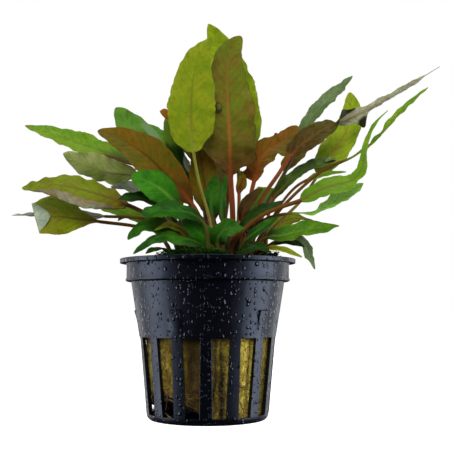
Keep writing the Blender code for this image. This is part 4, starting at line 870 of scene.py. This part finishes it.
def wool_tone(angle):
    """How light the wool is, eased from one slot to the next."""
    angle = (angle + 90.0) % 360.0 - 90.0
    for (start, tone_here), (end, tone_there) in zip(WOOL_TONES, WOOL_TONES[1:]):
        if start <= angle <= end:
            share = (angle - start) / (end - start)
            return tone_here + (tone_there - tone_here) * share * share * (3.0 - 2.0 * share)
    return WOOL_TONES[-1][1]


def wool_dent(angle, height):
    """How deep the wool's surface lies at a place on its side: creases, lumps and matting."""
    radius = wall_radius(height)
    dent = 0.0
    for at, level, length, width, depth in WOOL_CREASES:
        off = ((angle - at + 180.0) % 360.0 - 180.0) * math.radians(radius)
        off += 0.9 * uneven(at, height * 0.22, 3.0)
        dent += depth * math.exp(-(off / (width * 0.5)) ** 2 - ((height - level) / length) ** 4)
    x, y, _ = round_the_pot(angle, radius, height)
    dent += 0.55 * (0.5 + uneven(x * 0.22, y * 0.22, height * 0.10))
    ridges = abs(uneven(x * 0.9, y * 0.9, height * 0.16))
    dent += 0.5 * (0.35 - min(ridges, 0.35))
    dent += 0.18 * uneven(x * 2.4, y * 2.4, height * 0.7)
    return dent


def wool_side(angle, height, proud=0.0):
    reach = wall_radius(height) - WALL - GAP - wool_dent(angle, height) + proud
    return round_the_pot(angle, reach, height)


def wool_cap(points, faces, depth, edge, level, upwards):
    """Closes the plug with rings towards its middle, uneven like torn wool."""
    previous = range(edge * WOOL_COLUMNS, (edge + 1) * WOOL_COLUMNS)
    rim = [points[index] for index in previous]
    for ring in range(1, CAP_RINGS):
        share = 1.0 - ring / CAP_RINGS
        blend = min(1.0, (1.0 - share) * 2.4)
        current = range(len(points), len(points) + WOOL_COLUMNS)
        for place in rim:
            spot = Vector((place.x * share, place.y * share, 0.0))
            bump = 0.9 * uneven(spot.x * 0.25, spot.y * 0.25, level)
            bump += 0.4 * uneven(spot.x * 0.8, spot.y * 0.8, level)
            flat = place.z * (1 - blend) + level * blend
            spot.z = min(flat + bump * blend, WOOL_TOP + 0.2) if upwards else max(flat, place.z * 0.6)
            points.append(spot)
            # Painted shade: lower bumps of the top are darker, and the whole underside is painted fully
            # shaded
            depth.append(clamped(0.45 - bump) if upwards else 1.0)
        if upwards:
            bridge(faces, previous, current)
        else:
            bridge(faces, current, previous)
        previous = current
    centre = len(points)
    points.append((0.0, 0.0, level))
    depth.append(0.5)
    for column in range(WOOL_COLUMNS):
        corners = (previous[column], previous[(column + 1) % WOOL_COLUMNS], centre)
        faces.append(corners if upwards else corners[::-1])


def make_wool():
    """The plug of mineral wool with loose fibres on it, and the fine roots that grow out of it."""
    rng = random.Random(11)
    points, faces, depth = [], [], []
    for row in range(WOOL_ROWS + 1):
        for column in range(WOOL_COLUMNS):
            angle = 360.0 * column / WOOL_COLUMNS
            low = wool_bottom(angle) + 1.2 * uneven(angle * 0.12, 0.0, 7.0)
            low = max(low, FLOOR_THICKNESS + 0.1)
            height = low + (WOOL_TOP - WOOL_ROUNDING - low) * row / WOOL_ROWS
            points.append(wool_side(angle, height))
            # Painted shade: the deeper the surface lies in a crease or dent, the darker it is painted
            depth.append(clamped((wool_dent(angle, height) - 0.75) / 1.3))
    for row in range(WOOL_ROWS):
        start, middle, end = (WOOL_COLUMNS * level for level in (row, row + 1, row + 2))
        bridge(faces, range(start, middle), range(middle, end))
    wool_cap(points, faces, depth, WOOL_ROWS, WOOL_TOP - 0.3, True)
    wool_cap(points, faces, depth, 0, FLOOR_THICKNESS + GAP, False)

    # Fibres wander upwards over the side, then about on the top, and roots downwards or round the side
    for _ in range(SIDE_FIBRES):
        angle = rng.uniform(0.0, 360.0)
        height = rng.uniform(wool_bottom(angle) + 0.5, 28.0 if rng.random() < 0.9 else WOOL_TOP - 1.0)
        heading = rng.gauss(math.pi / 2, 0.7)
        route = []
        for _ in range(FIBRE_STEPS):
            route.append(wool_side(angle, height, 0.06 + 0.10 * rng.random()))
            heading += rng.gauss(0.0, 0.35)
            length = rng.uniform(0.5, 1.1)
            angle += math.degrees(length * math.cos(heading) / 20.0)
            height = min(max(height + length * math.sin(heading), wool_bottom(angle)), WOOL_TOP - 0.6)
        strand(points, faces, route, rng.uniform(*SIDE_FIBRE_RADIUS))
    for _ in range(CAP_FIBRES):
        reach, turn = 21.5 * math.sqrt(rng.random()), rng.uniform(0.0, 360.0)
        spot = round_the_pot(turn, reach, WOOL_TOP - 0.1)
        heading = rng.uniform(0.0, 2 * math.pi)
        route = []
        for _ in range(FIBRE_STEPS):
            route.append(spot)
            heading += rng.gauss(0.0, 0.5)
            spot = spot + Vector((math.cos(heading), math.sin(heading), 0.0)) * rng.uniform(0.5, 1.0)
            spot.z = WOOL_TOP + rng.uniform(-0.2, 0.5)
            if math.hypot(spot.x, spot.y) > CAP_FIBRE_REACH:
                spot = Vector((spot.x * 0.95, spot.y * 0.95, spot.z))
        strand(points, faces, route, rng.uniform(*CAP_FIBRE_RADIUS))
    fibre_faces = len(faces)
    # The loose fibres get a little painted shade
    depth += [0.15] * (len(points) - len(depth))

    for _ in range(ROOTS):
        angle = rng.uniform(0.0, 360.0)
        height = rng.uniform(2.2, 12.0)
        heading = rng.choice((-math.pi / 2, 0.0, math.pi)) + rng.gauss(0.0, 0.5)
        route = []
        for _ in range(ROOT_STEPS):
            route.append(wool_side(angle, height, 0.35))
            heading += rng.gauss(0.0, 0.28)
            angle += math.degrees(ROOT_STEP * math.cos(heading) / 19.0)
            height += ROOT_STEP * math.sin(heading)
            if height < ROOT_LOWEST:
                height, heading = ROOT_LOWEST, rng.choice((0.0, math.pi))
            height = min(height, ROOT_HIGHEST)
        strand(points, faces, route, rng.uniform(*ROOT_RADIUS), sides=5, tip=0.4)
    depth += [0.0] * (len(points) - len(depth))
    light = [wool_tone(math.degrees(math.atan2(x, -y))) for x, y, z in points]

    roots = strand_material("root", (86, 52, 20), (150, 122, 70), 0.55)
    kinds = [0] * fibre_faces + [1] * (len(faces) - fibre_faces)
    piece = mesh_object("mineral_wool", points, faces, [wool_material(), roots],
                        {"wool_depth": depth, "wool_light": light}, kinds, angle=180.0)
    settle(piece, "rockwool_plug")


def seen_at(across, up, depth):
    """The place at a depth that the camera sees across and up in the plane of the pot's axis."""
    reach = (depth + EYE_DISTANCE) / EYE_DISTANCE
    return Vector((across * reach, depth, EYE_HEIGHT + (up - EYE_HEIGHT) * reach))


def spaced(points):
    total = [0.0]
    for start, end in zip(points, points[1:]):
        total.append(total[-1] + (end - start).length)
    return total


def along(points, places, place):
    """A smooth curve through the points, read at a distance along it, as in the CAD source."""
    place = min(max(place, 0.0), places[-1])
    span = 0
    while span < len(points) - 2 and place > places[span + 1]:
        span += 1

    def slope(index):
        before = max(index - 1, 0)
        after = min(index + 1, len(points) - 1)
        return (points[after] - points[before]) / (places[after] - places[before])

    length = places[span + 1] - places[span]
    t = (place - places[span]) / length
    start = points[span] * (2 * t ** 3 - 3 * t ** 2 + 1) + slope(span) * length * (t ** 3 - 2 * t ** 2 + t)
    end = points[span + 1] * (3 * t ** 2 - 2 * t ** 3) + slope(span + 1) * length * (t ** 3 - t ** 2)
    return start + end


# The form of every leaf and its stalk, in millimetres or in shares of the blade
STALK_TAPER = 0.4
STALK_ENDS = 0.2
STALK_STEP = 1.5
BLADE_STEP = 0.55
BLADE_COLUMNS = {True: 27, False: 17}
BLADE_HALF_THICKNESS = 0.15
THINNEST = 0.1
TIP_LEFT_OFF = 0.12
RIB_LEAST = 0.12
RIB_ABOVE = 0.45
STRIP_STARTS = 8.0
STRIP_ENDS = 6.0
RUFFLE_SHIFT = 1.3
SHEATH_WIDER = 0.55
SHEATH_HEIGHT = 9.0
ROOTED = 2.2
SEED_STEP = 1.37
FOLD_BEFORE_END = 0.2
FOLD_LIFT = 0.5
FOLD_LIFT_WITHIN = 0.8
FOLD_RISE = 0.06
CURL_LEAST_BEND = 0.9
CURL_BEND_SHARE = 0.35
VEIN_SLANT = 0.75
VEIN_CURVE = 0.55
PUCKER_FULL_AT = 1.6
CRUMPLE_FULL_AT = 1.5
CRUMPLE_FADES = 1.6
BLADE_UNEVEN = 0.3
LEAST_WIDTH_TAPER = 0.75


def leaf_width(data, share):
    """The half-width of a blade at a share of its length."""
    bend = math.log(0.5) / math.log(data.widest)
    power = data.blunt if share < data.widest else data.point
    strip = data.strip * min(1.0, STRIP_STARTS * share, STRIP_ENDS * (1.0 - share))
    return max(data.half_width * math.sin(math.pi * share ** bend) ** power, strip)


def places_across(count):
    """Places from margin to margin, closer together at the midrib and at the margins."""
    steps = [2.0 * index / (count - 1) - 1.0 for index in range(count)]
    return [step - 0.72 * math.sin(2 * math.pi * step) / (2 * math.pi) for step in steps]


def rolled(out, half_width, share, curl):
    """Where a place of the blade lies on a rolled margin: across, up, and the turn there in radians."""
    _, start, degrees, share_from, share_to = curl
    edge = start * half_width
    window = math.sin(math.pi * (share - share_from) / (share_to - share_from)) ** 0.35
    turn = math.radians(degrees) * window
    bend_length = max(CURL_LEAST_BEND, CURL_BEND_SHARE * (half_width - edge))
    beyond = out - edge
    bend = min(beyond / bend_length, 1.0) * turn
    rest = max(beyond - bend_length, 0.0)
    if abs(turn) < 0.02:
        return edge + min(beyond, bend_length) + rest, 0.0, bend
    curve = bend_length / turn
    across = edge + curve * math.sin(bend) + rest * math.cos(turn)
    return across, curve * (1.0 - math.cos(bend)) + rest * math.sin(turn), bend


def make_leaf(data, number, material):
    """One leaf with its stalk as a thin closed mesh that carries its own coordinates for the material."""
    base = Vector((*data.base, WOOL_TOP + GAP))
    route = [base] + [seen_at(*place) for place in data.route]
    places = spaced(route)
    first = int(data.blade_from)
    part = data.blade_from - first
    blade_start = places[first + 1] + (places[min(first + 2, len(places) - 1)] - places[first + 1]) * part
    blade_length = places[-1] - blade_start + data.folded_tip
    fold_at = places[-1] - FOLD_BEFORE_END
    across_at = places_across(BLADE_COLUMNS[data.broad])
    seed = number * SEED_STEP

    # Distances along the route, from the foot of the stalk in the wool to the tip
    stalk_steps = max(4, round(blade_start / STALK_STEP))
    blade_steps = max(14, round(blade_length / BLADE_STEP))
    stops = [-ROOTED] + [blade_start * step / stalk_steps for step in range(stalk_steps)]
    stops += [blade_start + blade_length * step / blade_steps for step in range(blade_steps)]
    stops.append(blade_start + blade_length - TIP_LEFT_OFF)

    points, faces = [], []
    leaf_place, leaf_form, leaf_kind = [], [], []
    for stop in stops:
        share = clamped((stop - blade_start) / blade_length)
        run = stop - blade_start
        folded = max(stop - fold_at, 0.0) if data.folded_tip else 0.0
        flip = -1.0 if folded else 1.0
        over = min(1.0, folded / FOLD_LIFT_WITHIN) * FOLD_LIFT + FOLD_RISE * folded
        stop -= 2 * folded
        middle = along(route, places, stop)
        forward = (along(route, places, stop + 0.5) - along(route, places, stop - 0.5)).normalized()
        if stop <= 0.0:
            forward = Vector((0.0, 0.0, 1.0))
            middle = base + forward * stop
        twist_from, twist_to = data.twist
        turned = clamped((share - twist_from) / (twist_to - twist_from))
        upper = Vector(data.upper_side).lerp(Vector(data.upper_side_at_tip), turned)
        upper = (upper - forward * upper.dot(forward)).normalized()
        sideways = forward.cross(upper).normalized()
        wide = leaf_width(data, share)
        sheath = 1.0 + SHEATH_WIDER * clamped(2.0 - stop / SHEATH_HEIGHT)
        stem = data.stalk * (1.0 - STALK_TAPER * share) * sheath
        flat = min(1.0, wide / (3.0 * data.stalk))
        thin = max(flat, min(1.0, share / STALK_ENDS))
        thickness = stem + (BLADE_HALF_THICKNESS - stem) * thin
        rib = max(data.stalk * (1.0 - share) ** 1.6, RIB_LEAST)
        rise = math.tan(math.radians(data.fold)) * wide
        narrow = max(0.0, 1.0 - wide / (1.6 * data.stalk)) * max(0.0, 1.0 - share / STALK_ENDS)
        kind = (1.0 if run < 0.0 else narrow, seed, data.spacing)

        def margin(side):
            """The half-width on one side, with that side's lobes and an uneven edge."""
            reach = wide
            for at, lobe_side, height, spread in data.lobes:
                if lobe_side == side:
                    reach += height * math.exp(-((share - at) / spread) ** 2)
            rough = uneven(run * 0.30, side * 5.0, seed)
            rough += 0.5 * uneven(run * 0.85, side * 9.0, seed)
            reach += data.ragged * rough * flat * math.sin(math.pi * min(share * 1.02, 1.0)) ** 0.5
            return max(stem * (1.0 - LEAST_WIDTH_TAPER * share), reach)

        margins = {-1: margin(-1), 1: margin(1)}

        def sheet(position):
            """The middle of the blade's thickness at a place: sideways, upwards, tilt and vein phase."""
            side = 1 if position >= 0 else -1
            tilt = 0.0
            out = abs(position) * margins[side]
            # Large waves and fold
            ruffle = data.wave * math.sin(math.pi * share)
            ruffle *= math.sin(2 * math.pi * data.waves * share + (RUFFLE_SHIFT if position > 0 else 0.0))
            lift = (rise * (math.sqrt(position ** 2 + 0.01) - 0.1) + ruffle * position ** 2) * flat
            # Small uneven waves towards the margin
            ripple = math.sin(2 * math.pi * run / data.ripple_length + side * 1.1
                              + 2.5 * uneven(run * 0.09, side * 3.0, seed))
            swell = 0.6 + 0.8 * uneven(run * 0.16, side * 2.0, seed + 4.0)
            lift += data.ripple * ripple * swell * abs(position) ** 2.6 * flat
            # Swelling between the side veins, which run forwards from the midrib
            phase = (run - VEIN_SLANT * out - VEIN_CURVE * out * abs(position)) / data.spacing
            phase += 0.5 if side > 0 else 0.0
            pillow = 0.5 - 0.5 * math.cos(2 * math.pi * phase)
            swelling = data.pucker * (pillow - 0.5) * flat * min(1.0, out / PUCKER_FULL_AT)
            lift += swelling * (1.0 - abs(position) ** 5)
            # Slow unevenness, and crumples near the base
            lift += BLADE_UNEVEN * uneven(run * 0.11, out * 0.16 * side, seed + 8.0) * flat * abs(position)
            crumple = data.crumple * max(0.0, 1.0 - share * CRUMPLE_FADES) * flat
            crumple *= min(1.0, out / CRUMPLE_FULL_AT)
            lift += crumple * uneven(run * 0.33, out * 0.33 * side, seed + 12.0)
            lift += crumple * 0.5 * uneven(run * 0.8, out * 0.8 * side, seed + 16.0)
            for curl in data.curls:
                curl_side, start, _, share_from, share_to = curl
                here = curl_side == side and share_from < share < share_to
                if here and out > start * margins[side]:
                    out, up, tilt = rolled(out, margins[side], share, curl)
                    lift += up
            return out * side, lift, tilt * side, phase

        def add(position, side):
            """Adds the point of the upper skin, side 1, or of the under one, side -1."""
            out, lift, tilt, phase = sheet(position)
            half_width = margins[1 if position >= 0 else -1]
            skin = max(thickness, THINNEST) * math.sqrt(max(0.0, 1.0 - position ** 2))
            round_rib = rib * math.sqrt(max(0.0, 1.0 - (abs(position) * half_width / rib) ** 2)) * flat
            skin = max(skin, round_rib * (RIB_ABOVE if side > 0 else 1.0)) * flip * side
            out -= math.sin(tilt) * skin
            points.append(middle + sideways * out + upper * (lift + over + math.cos(tilt) * skin))
            leaf_place.append((run, position * half_width, phase))
            leaf_form.append((position, 1.0 if side > 0 else 0.0, share))
            leaf_kind.append(kind)

        for position in across_at:
            add(position, 1)
        for position in reversed(across_at[1:-1]):
            add(position, -1)

    # Closed rings of points become the skin, with a cap at the foot and a fan at the tip
    ring = 2 * len(across_at) - 2
    rings = [range(start, start + ring) for start in range(0, len(points), ring)]
    for here, following in zip(rings, rings[1:]):
        bridge(faces, here, following)
    faces.append(tuple(reversed(rings[0])))
    last = rings[-1]
    tip = len(points)
    points.append(points[last[0]].lerp(points[last[len(across_at) - 1]], 0.5))
    leaf_place.append((blade_length, 0.0, 0.0))
    leaf_form.append((0.0, 1.0, 1.0))
    leaf_kind.append((0.0, seed, data.spacing))
    for here in range(ring):
        faces.append((last[here], last[(here + 1) % ring], tip))

    piece = mesh_object(data.name + "_leaf", points, faces, [material], {
        "leaf_place": leaf_place, "leaf_form": leaf_form, "leaf_kind": leaf_kind,
        "rib_strength": [data.rib] * len(points)})
    settle(piece, "leaf_" + data.name)


MOSS_SHOOT_RADIUS = 0.13
MOSS_SHOOT_STEP = 0.8
MOSS_LEAVES_BELOW = 1
MOSS_LEAVES_ABOVE = 7
MOSS_LEAF_HALF_WIDTH = 0.22
MOSS_LEAF_THICKNESS = 0.05
MOSS_LEAF_FACES = ((0, 1, 3), (0, 3, 2), (3, 1, 4), (3, 4, 2), (0, 2, 1), (1, 2, 4))


def make_moss(name, first_angle, last_angle, material, count, rng):
    """A tuft of moss: short shoots set with tiny pointed leaves."""
    points, faces = [], []
    for _ in range(count):
        share = rng.random()
        angle = first_angle + (last_angle - first_angle) * share
        ends = min(1.0, 0.45 + 3.0 * min(share, 1.0 - share))
        out = rng.uniform(-MOSS_HALF_WIDTH, MOSS_HALF_WIDTH) * ends
        height = (MOSS_TOP - WOOL_TOP) * ends * (1.0 - 0.1 * abs(out) / MOSS_HALF_WIDTH)
        height *= rng.uniform(0.9, 1.0)
        lean = Vector((rng.gauss(0.0, 0.3), rng.gauss(-0.15, 0.3), 1.0)).normalized()
        spot = round_the_pot(angle, MOSS_RADIUS + out, WOOL_TOP - 0.4)
        steps = max(4, round(height / MOSS_SHOOT_STEP))
        route = []
        for _ in range(steps + 1):
            route.append(spot)
            lean = (lean + Vector((rng.gauss(0, 0.12), rng.gauss(0, 0.12), 0.03))).normalized()
            spot = spot + lean * (height / steps)
            inwards = min(1.0, MOSS_REACH / math.hypot(spot.x, spot.y))
            spot = Vector((spot.x * inwards, spot.y * inwards, spot.z))
        strand(points, faces, route, MOSS_SHOOT_RADIUS, tip=0.4)
        for foot in route[1:]:
            for _ in range(MOSS_LEAVES_BELOW if foot.z < MOSS_DENSE_FROM else MOSS_LEAVES_ABOVE):
                turn = rng.uniform(0.0, 2 * math.pi)
                outward = Vector((math.cos(turn), math.sin(turn), rng.uniform(0.3, 0.9))).normalized()
                wide = outward.cross(Vector((0, 0, 1))).normalized() * MOSS_LEAF_HALF_WIDTH
                length = rng.uniform(0.7, 1.2)
                thick = wide.cross(outward).normalized() * MOSS_LEAF_THICKNESS
                belly = foot + outward * length * 0.4
                start = len(points)
                points.extend([foot, belly + wide, belly - wide, belly + thick, foot + outward * length])
                faces.extend(tuple(start + corner for corner in corners) for corners in MOSS_LEAF_FACES)
    piece = mesh_object(name.replace("moss_", "") + "_moss", points, faces, [material])
    settle(piece, name)


FLOOR_REACH = 4000.0
FLOOR_GLOW = 0.85


def make_floor():
    """A plain pale floor that lights nothing and shows in no gloss."""
    mesh = bpy.data.meshes.new("floor")
    reach = FLOOR_REACH * MM
    corners = [(-reach, -reach, 0.0), (reach, -reach, 0.0), (reach, reach, 0.0), (-reach, reach, 0.0)]
    mesh.from_pydata(corners, [], [(0, 1, 2, 3)])
    shader = Shader(bpy.data.materials.new("pale_floor"))
    shader.set(Base_Color=(0.86, 0.86, 0.86), Roughness=0.9, Specular_IOR_Level=0.0,
               Emission_Color=(1.0, 1.0, 1.0), Emission_Strength=FLOOR_GLOW)
    mesh.materials.append(shader.owner)
    floor = linked("floor", mesh)
    floor.visible_glossy = False
    floor.visible_diffuse = False


def aimed(name, data, place, target):
    """A new light or camera at a place that looks at a target."""
    thing = linked(name, data)
    thing.location = Vector(place) * MM
    thing.rotation_euler = (Vector(target) - Vector(place)).to_track_quat("-Z", "Y").to_euler()
    return thing


# The lights of a product studio: place, width, height, power, and whether they show in glossy surfaces
LIGHTS_AIM = (0.0, 0.0, 60.0)
SOFTBOXES = {
    "left_softbox": ((-520.0, -40.0, 60.0), 380.0, 700.0, 2.3, True),
    "right_softbox": ((520.0, -50.0, 60.0), 400.0, 700.0, 2.9, True),
    "top_softbox": ((0.0, -60.0, 620.0), 500.0, 400.0, 1.0, True),
    "left_rim_light": ((-350.0, 420.0, 60.0), 340.0, 500.0, 0.6, True),
    "right_rim_light": ((350.0, 420.0, 60.0), 340.0, 500.0, 0.6, True),
    "front_softbox": ((-40.0, -600.0, 330.0), 340.0, 300.0, 3.6, False),
}


def make_lights():
    """Softboxes round the part and pale surroundings, which the camera sees as white and gloss as dark."""
    for name, (place, width, height, power, in_gloss) in SOFTBOXES.items():
        light = bpy.data.lights.new(name, "AREA")
        light.shape = "RECTANGLE"
        light.size = width * MM
        light.size_y = height * MM
        light.energy = power
        aimed(name, light, place, LIGHTS_AIM).visible_glossy = in_gloss
    world = bpy.data.worlds.new("studio")
    bpy.context.scene.world = world
    air = Shader(world, "Background")
    lit = air.add("MapRange", {0: air.add("LightPath", out="Is Glossy Ray"), 3: 0.35, 4: 0.02})
    strength = air.add("MapRange", {0: air.add("LightPath", out="Is Camera Ray"), 3: lit, 4: 1.0})
    air.set(Color=(1.0, 1.0, 1.0), Strength=strength)


def make_camera():
    lens = bpy.data.cameras.new("camera")
    lens.lens = LENS
    lens.sensor_width = SENSOR
    bpy.context.scene.camera = aimed("camera", lens, (0.0, -EYE_DISTANCE, EYE_HEIGHT), AIM)


def main():
    bpy.context.scene.view_settings.view_transform = "Standard"
    make_camera()
    make_lights()
    make_floor()
    make_pot()
    make_wool()
    moss = strand_material("moss", (20, 52, 10), (56, 98, 26), 0.6)
    rng = random.Random(5)
    for name, (first_angle, last_angle) in MOSS_TUFTS.items():
        count = round(MOSS_SHOOTS_PER_DEGREE * (last_angle - first_angle))
        make_moss(name, first_angle, last_angle, moss, count, rng)
    skins = {}
    for number, data in enumerate(LEAVES):
        own = data.spots or data.relief < 1.0
        skin = "leaf_" + (data.name + "_skin" if own else data.palette)
        if skin not in skins:
            skins[skin] = leaf_material(skin, PALETTES[data.palette], data.spots, data.relief)
        make_leaf(data, number, skins[skin])


main()
